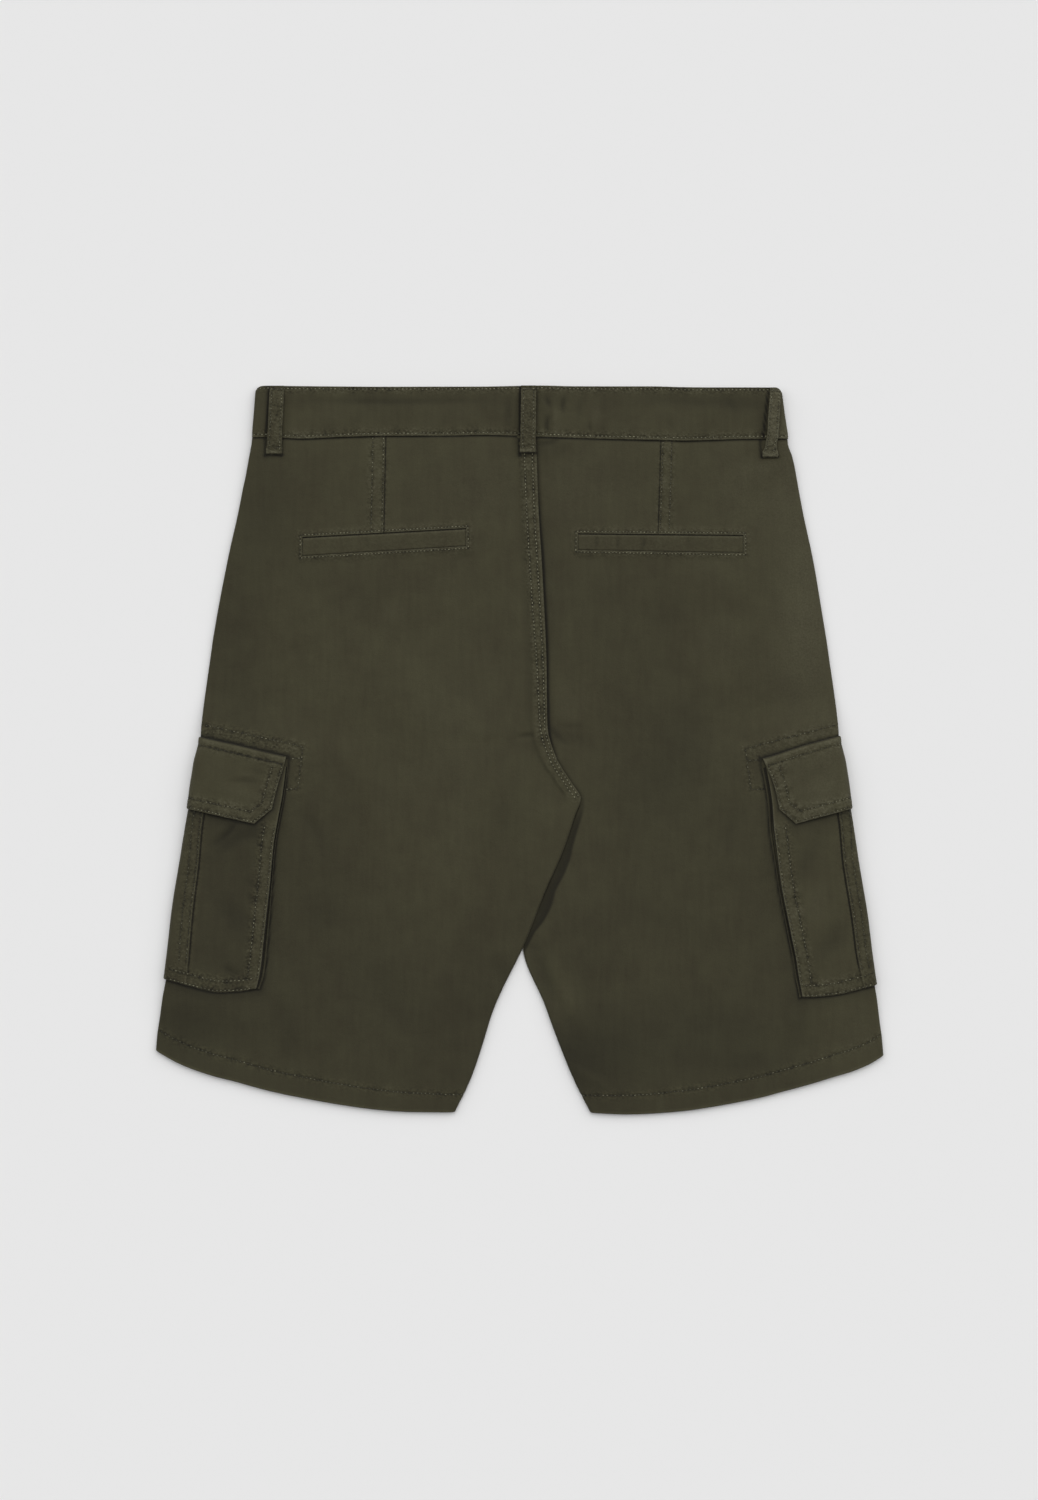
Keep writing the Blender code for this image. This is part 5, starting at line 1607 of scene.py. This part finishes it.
def make_pocket(side, material):
    """The pocket: lower face, round the outseam, upper face, its rim, and the gusset to the leg."""
    edge, pleat = (
        unrolled(float(pocket_edge(side, NOMINAL_ALONG, name))) for name in ("edge", "pleat")
    )
    marks = np.array([-edge, -pleat, -FOLD_QUARTER, FOLD_QUARTER, pleat, edge])
    lines = grid_lines(np.diff(marks), [0, 1, 0, 0, 1, 0], POCKET_SPACING[0])
    w_nominal = np.interp(lines, np.arange(len(marks)), marks)
    share = np.clip((np.abs(w_nominal) - unrolled(0)) / (edge - unrolled(0)), 0, 1)
    rim = np.array(RIM)
    in_rim, by_rim = slice(-len(rim), None), slice(-len(rim) - 1, -len(rim))
    share = np.concatenate([share, np.ones(len(rim))])
    length = POCKET_TOP - float(pocket_bottom(side, 0))
    down = grid_lines([length], [0, 1], POCKET_SPACING[1])[:, None]
    along = POCKET_TOP + down * (pocket_bottom(side, share) - POCKET_TOP)
    edge_w, pleat_w = (unrolled(pocket_edge(side, along, name)) for name in ("edge", "pleat"))
    fixed = FOLD_QUARTER + 0 * along
    marks_here = np.stack([-edge_w, -pleat_w, -fixed, fixed, pleat_w, edge_w])
    w = between_marks(marks_here, np.append(lines, np.full(len(rim), len(marks) - 1)))
    opening = gusset_width(side, along[:, in_rim]) / rim[-1, 0]
    w[:, in_rim] += rim[:, 0] * np.where(rim[:, 0] > 0, opening, 1)
    height, wear = pocket_surface(side, along, w)
    height[:, in_rim] = RIM_FOOT + (height[:, by_rim] - RIM_FOOT) * rim[:, 1]
    # the rim: worn pale at the face's edge, painted shade in the gusset's gap
    wear[:, in_rim] = np.where(rim[:, 0] < -0.2, 0.4, np.where(rim[:, 0] < 2, -2, -0.55))
    # painted shade at the gusset's foot on the leg
    wear[:, -1] = -1.8
    from_bottom = (1 - down) * length
    height = 0.1 + (height - 0.1) * (0.1 + 0.9 * rounded(from_bottom, 1.3))
    # worn pale above the bottom seam, and painted shade where it meets the leg
    wear += 0.7 * bell(from_bottom - 1.1, 0.8) - 1.8 * bell(from_bottom, 0.35)
    outside, _ = leg_point(side, along, w, height)
    low = np.where(np.arange(along.shape[1]) < along.shape[1] - len(rim), height - CLOTH, 0)
    inside, _ = leg_point(side, along, w, np.maximum(np.minimum(low, height - RIM_FOOT), -0.1))
    outside[..., 2] = np.maximum(outside[..., 2], 0)
    inside[..., 2] = np.maximum(inside[..., 2], INSIDE_FLOOR)
    wear = stacked(wear, gathered(POCKET_ROWS[side], w, along))
    name = f"cargo_pocket_{side}_cloth"
    piece = make_shell(name, outside, inside, material, wear, stacked(w, along), step=3)

    def place(line):
        w, along = line.T
        return leg_point(side, along, w, pocket_surface(side, along, w)[0])

    sew_rows("stitching_pockets", POCKET_ROWS[side], place)
    return piece


POCKET_ROWS = {side: pocket_rows(side) for side in BOTH}

FLAP_SPACING = (1.25, 1.1)  # as the pocket's
# painted light: the right flap is paler than the left
FLAP_LIGHT = {"left": 0.06, "right": 0.4}
FLAP_ROW_OFFSETS = {"left": (1.4, 8.4), "right": (1.4, 8.6)}
FLAP_CREASES = {
    "left": (
        (18, -20, 50, -14, 2, 5, 0.35), (26, -19.5, 52, -14, 0.5, 1.5, 0.35),
        (30, -13, 46, -9, -0.5, 1.8, -0.25), (40, -6, 60, -8, 0.5, 3, 0.35),
        (10, -26, 30, -34, -2, 6, 0.35), (30, -28, 56, -26, 1, 5, -0.3),
    ),
    "right": (
        (12, -12, 40, -22, 2, 5.5, 0.45), (36, -8, 52, -6, -0.5, 3, 0.35),
        (24, -30, 46, -24, -1.5, 5, 0.35), (8, -26, 24, -32, 2, 5, -0.3),
    ),
}


def flap_edge(side, along):
    """How far in from the outseam the flap's side lies."""
    return curve(FLAP_EDGES, side, along)


# How far the flap's top edge hangs below its row, at the side fold and at the inner corner
FLAP_DROOP = {"left": (0.7, 1.2), "right": (0, 1.7)}
FLAP_SEWN_SHADE = {"left": 1, "right": 0.45}


def drooped(side, along, across):
    """The along of a point of the flap, lowered towards the flap's top inner corner."""
    at_fold, at_corner = FLAP_DROOP[side]
    droop = at_fold + (at_corner - at_fold) * ramp(across, 22, 62)
    return along - droop * ramp(along, -22, 2)


def flap_outline(side):
    """The flap's free edge in its unrolled plane, from its top inner corner to the side fold."""
    along = np.linspace(FLAP_TOP, FLAP_CLIP_TOP, 12)
    corner = [(unrolled(FLAP_CLIP[side]), FLAP_BOTTOM), (0, FLAP_BOTTOM)]
    return np.concatenate([stacked(unrolled(flap_edge(side, along)), along), corner])


def flap_rows(side):
    """The flap's rows of stitches: one along its sewn top, two round its free edge."""
    edge = unrolled(float(flap_edge(side, FLAP_SEWN_ROW)))
    sewn_line = np.array([(0, FLAP_SEWN_ROW), (edge - 1, FLAP_SEWN_ROW)])
    rows = [Row(sewn_line, 501, 0.7, -FLAP_SEWN_SHADE[side], 2.8)]
    for k, offset in enumerate(FLAP_ROW_OFFSETS[side]):
        line = inset(flap_outline(side), -offset)
        rows.append(Row(line[line[:, 1] < FLAP_SEWN_ROW - 2 * k], 511 + 5 * k, 1, -0.25 * k, 2.8))
    return mirrored([row._replace(path=resampled(row.path, 1.2)) for row in rows])


FLAP_ROWS = {side: flap_rows(side) for side in BOTH}


def from_outline(side, w, along):
    """Distance in from the flap's free edge: the least of those to its side, its clip and its foot."""
    w = np.abs(w)
    corner = np.array([unrolled(float(flap_edge(side, FLAP_CLIP_TOP))), FLAP_CLIP_TOP])
    clip = np.array([unrolled(FLAP_CLIP[side]), FLAP_BOTTOM])
    step = (clip - corner) / np.linalg.norm(clip - corner)
    clipped = (w - corner[0]) * step[1] - (along - corner[1]) * step[0]
    return np.minimum(np.minimum(unrolled(flap_edge(side, along)) - w, along - FLAP_BOTTOM), clipped)


def flap_surface(side, along, w):
    """(height above the leg, wear) of the flap's outside in its unrolled plane.

    From its sewn edge it starts in a thick ridge, dips at the row of stitches below it, and then
    lies over the pocket; its free edge is thicker than its middle. Its ridge and edges are worn pale,
    painted shade lies in the row's groove and along its top edge, and FLAP_LIGHT paints light on it.
    """
    across, upper, flat = rolled(w), w > 0, on_flat(w)
    inside, from_top = from_outline(side, w, along), FLAP_TOP - along
    over = POCKET_GAP + CLOTH + PLEAT_RISE + FLAP_GAP
    over += upper * (puff(along, across) - PLEAT_RISE * ramp(across, *FLAP_OVER_FACE))
    clear = ramp(-along, -FLAP_TOP, -2 + 14 * (1 - flat))
    ridge, groove = bell(along - 8.4, 2.2), bell(along - FLAP_SEWN_ROW, 0.9)
    pucker = unevenness_1d(w, 4.4, 49)
    crease = creased(FLAP_CREASES[side], np.where(upper, across, -across), along)
    relief, wear = sewn_relief(FLAP_ROWS[side], w, along)
    relief += (0.7 + 0.3 * pucker) * ridge - 0.35 * groove + 0.35 * ramp(inside, 9.5, 5.5)
    relief += CREASE_GAIN * crease + 0.22 * unevenness(w, along, 21, 47)
    height = POCKET_GAP + CLOTH + (over - POCKET_GAP) * clear + relief * (0.3 + 0.7 * flat)
    height -= 0.6 * (1 - rounded(inside, 1))
    height = 0.15 + (height - 0.15) * rounded(from_top, 1.6)
    wear += (0.1 + 0.3 * pucker) * ridge - 0.8 * FLAP_SEWN_SHADE[side] * groove + CREASE_SHADE * crease
    wear += bell(inside - 0.5, 0.9) + 0.5 * bell(from_top - 1.8, 1) - 1.9 * bell(from_top, 0.75)
    return height, wear + 0.18 * unevenness(w, along, 15, 48) + FLAP_LIGHT[side]


RESTING = {side: resting_edges(side) for side in BOTH}


def make_flap(side, material):
    """The flap: sewn along its top edge, over the pocket, with one clipped corner on each face."""
    clip, edge = unrolled(FLAP_CLIP[side]), unrolled(float(flap_edge(side, FLAP_CLIP_TOP)))
    marks = np.array([-edge, -clip, 0, clip, edge])
    lines = grid_lines(np.diff(marks), [1, 0, 0, 0, 1], FLAP_SPACING[0])
    down = grid_lines([FLAP_TOP - FLAP_BOTTOM], [1, 1], FLAP_SPACING[1])[:, None]
    past_clip = np.clip(np.abs(lines - 2) - 1, 0, 1)
    bottom = FLAP_BOTTOM + (FLAP_CLIP_TOP - FLAP_BOTTOM) * past_clip
    along = FLAP_TOP + down * (bottom - FLAP_TOP)
    edge_w, clip_w = unrolled(flap_edge(side, along)), clip + 0 * along
    w = between_marks(np.stack([-edge_w, -clip_w, 0 * along, clip_w, edge_w]), lines)
    height, wear = flap_surface(side, along, w)
    hung = drooped(side, along, np.abs(w))
    outside, inside = (leg_point(side, hung, w, lift)[0] for lift in (height, height - CLOTH))
    outside[..., 2] = np.maximum(outside[..., 2], 0)
    wear = stacked(wear, gathered(FLAP_ROWS[side], w, along))
    name = f"cargo_flap_{side}_cloth"
    piece = make_shell(name, outside, inside, material, wear, stacked(w, along), step=3)

    def place(line):
        w, along = line.T
        return leg_point(side, drooped(side, along, np.abs(w)), w, flap_surface(side, along, w)[0])

    sew_rows("stitching_flaps", FLAP_ROWS[side], place)
    return piece


# ---- button

BUTTON_DIAMETER = 17
BUTTON_THICKNESS = 2.4
BUTTON_Y = 262
BUTTON_SIDES = 48
HOLE_OFFSET = 1.75
HOLE_RADIUS = 0.95
# The button's face and back as (share of the radius, height above its face as a share)
BUTTON_PROFILE = (
    (0.55, 0.36), (0.62, 0.3), (0.68, 0.1), (0.74, 0.01), (0.82, 0), (0.92, 0.03),
    (0.98, 0.14), (1, 0.32), (0.99, 0.6), (0.95, 0.85), (0.88, 0.97), (0.78, 1), (0.55, 1),
)


def make_button(material):
    """A turned sew-through button: its profile is spun, and four round holes go through its middle.

    The middle is a disc cut into four quarters, each a ring of quads between a hole's circle and
    the quarter's outline, on the face and on the back, with the holes' walls between them.
    """
    radii, levels = (np.array(BUTTON_PROFILE) * [BUTTON_DIAMETER / 2, BUTTON_THICKNESS]).T[..., None]
    turn = np.arange(BUTTON_SIDES) * math.tau / BUTTON_SIDES
    spun = stacked(radii * np.cos(turn), radii * np.sin(turn), levels)
    grid = np.arange(spun[..., 0].size).reshape(spun.shape[:2])
    faces, points, count = [grid_faces(joined_round(grid))], [spun.reshape(-1, 3)], grid.size
    quarter = BUTTON_SIDES // 4
    arms = np.linspace(0, 1, quarter // 2 + 1)[:-1, None]
    for ring in (0, -1):
        for k in range(4):
            middle_turn = (k + 0.5) * math.tau / 4
            towards = np.array([math.cos(middle_turn), math.sin(middle_turn)])
            middle = HOLE_OFFSET * math.sqrt(2) * towards
            rim = spun[ring, (k * quarter + np.arange(quarter + 1)) % BUTTON_SIDES, :2]
            outline = np.concatenate([arms * rim[0], rim[:-1], (1 - arms) * rim[-1]])
            hole = middle + HOLE_RADIUS * unit(outline - middle)
            size = len(outline)
            points.append(stacked(*np.concatenate([outline, hole]).T, levels[ring, 0]))
            outer_ids = count + np.arange(size)
            hole_ids = outer_ids + size
            band = quads(outer_ids, np.roll(outer_ids, -1), np.roll(hole_ids, -1), hole_ids)
            faces.append(band if ring else band[:, ::-1])
            if ring:
                other = hole_ids - 4 * 2 * size
                faces.append(quads(hole_ids, np.roll(hole_ids, -1), np.roll(other, -1), other))
            count += 2 * size
    points = np.concatenate(points) + [float(inner_x(BUTTON_Y, "left")), BUTTON_Y, 0]
    piece = make_mesh("waist_button_resin", points, faces, material, smooth_angle=35)
    merge_doubles(piece)
    return piece


def merge_doubles(piece):
    """Joins the button's rims, whose points lie on each other, and turns its faces out."""
    import bmesh

    work = bmesh.new()
    work.from_mesh(piece.data)
    bmesh.ops.remove_doubles(work, verts=work.verts, dist=1e-6)
    bmesh.ops.recalc_face_normals(work, faces=work.faces)
    work.to_mesh(piece.data)
    work.free()


# ---- materials


class Finish:
    """A material whose nodes are added by short calls. A value is a number or a node's output."""

    def __init__(self, name, roughness):
        self.material = bpy.data.materials.new(name)
        self.material.use_nodes = True
        self.tree = self.material.node_tree
        self.shader = self.tree.nodes["Principled BSDF"]
        self.fill(self.shader, {"Roughness": roughness})
        self.place = self.node("TexCoord").outputs["Object"]

    def fill(self, node, values):
        """Sets or links inputs of a node by name or number."""
        for name, value in values.items():
            if hasattr(value, "links"):
                self.tree.links.new(value, node.inputs[name])
            else:
                node.inputs[name].default_value = value

    def node(self, kind, values=(), **settings):
        node = self.tree.nodes.new("ShaderNode" + kind)
        for name, value in settings.items():
            setattr(node, name, value)
        self.fill(node, dict(values))
        return node

    def noise(self, scale, detail=2, stretch=(1, 1, 1)):
        """Noise on the place in metres, with scale features to the metre; stretch scales its axes."""
        place = self.node("Mapping", {"Vector": self.place, "Scale": stretch}).outputs[0]
        return self.node("TexNoise", {"Vector": place, "Scale": scale, "Detail": detail}).outputs["Fac"]

    def attribute(self, name):
        return self.node("Attribute", attribute_name=name).outputs["Fac"]

    def maths(self, operation, *values):
        return self.node("Math", enumerate(values), operation=operation).outputs[0]

    def scaled(self, value, factor, plus=0):
        return self.maths("MULTIPLY_ADD", value, factor, plus)

    def within(self, value, high=1):
        return self.maths("MINIMUM", self.maths("MAXIMUM", value, 0), high)

    def blend(self, share, first, second):
        """The first colour at share 0 and the second at 1."""
        return self.node("Mix", {0: share, 6: first, 7: second}, data_type="RGBA").outputs[2]

    def darkened(self, colour, wear):
        """The colour with painted shade: darker where the wear value is below 0."""
        return self.blend(self.within(self.scaled(wear, DEEP_SHADE), 0.95), colour, TWILL_PAINTED_SHADE)

    def bump(self, height, strength, distance):
        """Adds a bump, with its depth in metres, over the bumps that are there already."""
        values = {"Height": height, "Strength": strength, "Distance": distance}
        below = self.shader.inputs["Normal"].links
        if below:
            values["Normal"] = below[0].from_socket
        self.fill(self.shader, {"Normal": self.node("Bump", values).outputs["Normal"]})


TWILL_DARK = (0.036, 0.0313, 0.0162, 1)
TWILL_LIGHT = (0.053, 0.0497, 0.0256, 1)
# worn paleness and painted light
TWILL_WORN_AND_LIT = (0.098, 0.0925, 0.0573, 1)
# painted shade
TWILL_PAINTED_SHADE = (0.009, 0.0079, 0.0043, 1)
TWILL_PITCH = 0.75  # mm between the diagonal ribs
TWILL_ANGLE = math.radians(30)
THREAD_DARK = (0.042, 0.04, 0.023, 1)
THREAD_LIGHT = (0.23, 0.221, 0.14, 1)
TAPE_DARK = (0.03, 0.028, 0.019, 1)
TAPE_LIGHT = (0.052, 0.048, 0.032, 1)
HORN_DARK = (0.012, 0.009, 0.006, 1)
HORN_LIGHT = (0.07, 0.05, 0.03, 1)
GATHER_SHADE = 4
DEEP_SHADE = -0.62
WAVE_PERIOD = 0.3142  # the length of one wave texture band at scale 1


def twill_material():
    """Garment-dyed cotton twill: clouded colour, a fine grain, diagonal ribs, pale worn edges, painted
    light and shade.

    The clouds and the grain are noise on Object coordinates. The ribs are a wave on the cloth's
    own UV map, in metres. The wear attribute makes worn crests and edges pale and, above 0
    on parts that are lit more, paints light; below 0 it paints shade in seams' depths, creases and
    beside what lies on the cloth. The gather attribute crumples the cloth finely beside its stitches,
    with painted shade and paleness in its small folds.
    """
    cloth = Finish("cotton_twill", 0.88)
    cloth.fill(cloth.shader, {
        "Specular IOR Level": 0.25, "Sheen Weight": 0.12, "Sheen Roughness": 0.5,
        "Sheen Tint": (0.62, 0.6, 0.5, 1),
    })
    lie = {"Vector": cloth.node("TexCoord").outputs["UV"], "Rotation": (0, 0, TWILL_ANGLE)}
    rib = cloth.node("TexWave", {
        "Vector": cloth.node("Mapping", lie).outputs[0], "Scale": 1000 * WAVE_PERIOD / TWILL_PITCH,
        "Distortion": 1.2, "Detail": 2, "Detail Scale": 0.35,
    }).outputs["Fac"]
    grain = cloth.noise(1100)
    shade = -1.26
    for value, weight in (
        (cloth.noise(11, 3), 1), (cloth.noise(55, 4), 0.9),
        (cloth.noise(260, 3, (1, 0.12, 1)), 0.7), (grain, 0.7), (rib, 0.22),
    ):
        shade = cloth.scaled(value, weight, shade)
    colour = cloth.blend(cloth.within(shade), TWILL_DARK, TWILL_LIGHT)
    folds = cloth.maths("SUBTRACT", cloth.noise(480, 3), 0.45)
    crumple = cloth.maths("MULTIPLY", folds, cloth.attribute("gather"))
    wear = cloth.scaled(crumple, GATHER_SHADE, cloth.attribute("wear"))
    patchy = cloth.scaled(cloth.noise(700, 3), 2.4, -0.45)
    # worn paleness and painted light, where wear is above 0
    worn_and_lit = cloth.maths("MULTIPLY", cloth.maths("MAXIMUM", wear, 0), patchy)
    colour = cloth.blend(cloth.within(cloth.scaled(worn_and_lit, 0.55), 0.9), colour, TWILL_WORN_AND_LIT)
    # painted shade, where wear is below 0
    cloth.fill(cloth.shader, {"Base Color": cloth.darkened(colour, wear)})
    cloth.bump(rib, 0.5, 0.00012)
    cloth.bump(grain, 0.6, 0.00035)
    cloth.bump(cloth.noise(130, 3), 0.5, 0.0012)
    cloth.bump(crumple, 1, 0.0015)
    return cloth.material


def thread_material():
    """Matt polyester thread, a shade paler than the cloth, twisted along its length, with painted shade
    at its sunk ends.
    """
    thread = Finish("matt_thread", 0.7)
    wear = thread.attribute("wear")
    change = thread.scaled(wear, 0.4, thread.scaled(thread.noise(380), 2.4, -0.7))
    colour = thread.blend(thread.within(change), THREAD_DARK, THREAD_LIGHT)
    thread.fill(thread.shader, {"Base Color": thread.darkened(colour, wear), "Specular IOR Level": 0.35})
    twist = {"Vector": thread.place, "Scale": 900, "Distortion": 0.6}
    thread.bump(thread.node("TexWave", twist, bands_direction="DIAGONAL").outputs["Fac"], 0.5, 0.0001)
    return thread.material


def zip_material():
    """Woven zip tape: fine ribs along its length and a slight mottle."""
    tape = Finish("zip_tape_weave", 0.75)
    wave = {"Vector": tape.place, "Scale": 420, "Distortion": 0.4}
    ribs = tape.node("TexWave", wave).outputs["Fac"]
    share = tape.scaled(ribs, 0.5, tape.scaled(tape.noise(500), 0.5))
    tape.fill(tape.shader, {"Base Color": tape.blend(share, TAPE_DARK, TAPE_LIGHT)})
    tape.bump(ribs, 0.6, 0.0002)
    return tape.material


def button_material():
    """Dark horn-like resin: brown clouds drawn out in one direction under a soft gloss."""
    horn = Finish("horn_resin", 0.42)
    veins = horn.noise(240, 5, (1, 0.35, 1))
    share = horn.within(horn.scaled(veins, 2.2, -0.6))
    colour = horn.blend(share, HORN_DARK, HORN_LIGHT)
    horn.fill(horn.shader, {"Base Color": colour, "Roughness": horn.scaled(veins, 0.2, 0.32)})
    return horn.material


def floor_material():
    paper = Finish("floor_paper", 1)
    colour = (FLOOR_GREY, FLOOR_GREY, FLOOR_GREY, 1)
    paper.fill(paper.shader, {"Base Color": colour, "Specular IOR Level": 0})
    return paper.material


# ---- the stage

FLOOR_GREY = 0.83
FLOOR_HALF = 12
FLOOR_Z = -0.0001
PICTURE_HEIGHT = 1.17  # metres of floor that the picture shows, top to bottom
CAMERA_LENS = 85
CAMERA_SENSOR = 36
CAMERA_FOCUS_Z = 0.005
WORLD_STRENGTH = 0.12
# Broad overhead lights: strength, angular width, tilt from straight down, turn from the waist
LIGHTS = ((1.9, 80, 40, -48), (1.55, 80, 40, 48))


def add_object(name, data):
    """A new object in the scene with its mesh, camera or light."""
    thing = bpy.data.objects.new(name, data)
    bpy.context.scene.collection.objects.link(thing)
    return thing


def make_stage():
    """A pale floor under the garment, a camera straight above it, and soft light."""
    scene = bpy.context.scene
    mesh = bpy.data.meshes.new("floor")
    corners = [(x, y, FLOOR_Z) for x, y in FLOOR_HALF * np.array([(-1, -1), (1, -1), (1, 1), (-1, 1)])]
    mesh.from_pydata(corners, [], [(0, 1, 2, 3)])
    mesh.materials.append(floor_material())
    add_object("floor", mesh)

    camera = add_object("camera", bpy.data.cameras.new("camera"))
    camera.data.lens = CAMERA_LENS
    camera.data.sensor_width = CAMERA_SENSOR
    camera.location = (0, 0, CAMERA_FOCUS_Z + PICTURE_HEIGHT * CAMERA_LENS / CAMERA_SENSOR)
    scene.camera = camera

    scene.world = bpy.data.worlds.new("studio")
    scene.world.use_nodes = True
    background = scene.world.node_tree.nodes["Background"]
    background.inputs["Color"].default_value = (1, 1, 1, 1)
    background.inputs["Strength"].default_value = WORLD_STRENGTH
    for strength, angle, tilt, turn in LIGHTS:
        sun = add_object("overhead", bpy.data.lights.new("overhead", "SUN"))
        sun.data.energy = strength
        sun.data.angle = math.radians(angle)
        sun.rotation_euler = (math.radians(-tilt), 0, math.radians(turn))
    scene.view_settings.view_transform = "Standard"


# ---- the garment


def sew_panel(layer, side):
    """Stitches along a panel's rows, which stop short of its side folds."""
    height = back_height if layer == "back" else front_height
    normal = [0, 0, 1 if layer == "back" else -1]

    def place(line):
        x, y = line[outseam_x(line[:, 1]) - np.abs(line[:, 0]) > SHORT_OF_FOLD].T
        return stacked(x, y, height(side, x, y)), np.tile(normal, (len(x), 1))

    sew_rows("stitching_" + layer, [row for row in ROWS[layer, side] if row.sewn], place)


def dress():
    """Makes every piece, rides it on the root body, and hides the imported part that it stands for."""
    twill, thread = twill_material(), thread_material()
    for side in BOTH:
        for layer in ("back", "front"):
            outside, inside, wear, uv = panel_grid(side, layer)
            name = f"{layer}_{side}"
            piece = make_shell(name + "_cloth", outside, inside, twill, wear, uv)
            sew_panel(layer, side)
            settle(piece, name)
    settle(make_waistband(twill), "waistband")
    for loop in LOOPS:
        settle(make_loop(loop, twill), loop.name)
    for side in BOTH:
        settle(make_welt(side, twill), f"welt_{side}")
        settle(make_pocket(side, twill), f"cargo_pocket_{side}")
        settle(make_flap(side, twill), f"cargo_flap_{side}")
    settle(make_button(button_material()), "waist_button")
    for group in STITCHES:
        stitching = make_stitches(group, thread)
        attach(stitching, "root")
    zip_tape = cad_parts["fly_zip"]
    zip_tape.data.materials.clear()
    zip_tape.data.materials.append(zip_material())


# The piece that each piece lies on; the others lie on the floor
RESTS_ON = {
    f"{upper}_{side}": f"{lower}_{side}_cloth" for side in BOTH for upper, lower in (
        ("back", "front"), ("welt", "back"), ("cargo_pocket", "back"), ("cargo_flap", "cargo_pocket"),
    )
}
RESTS_ON.update({loop.name: "waistband_cloth" for loop in BACK_LOOPS})


def settle(piece, node):
    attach(piece, "root")
    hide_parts(node)


make_stage()
dress()
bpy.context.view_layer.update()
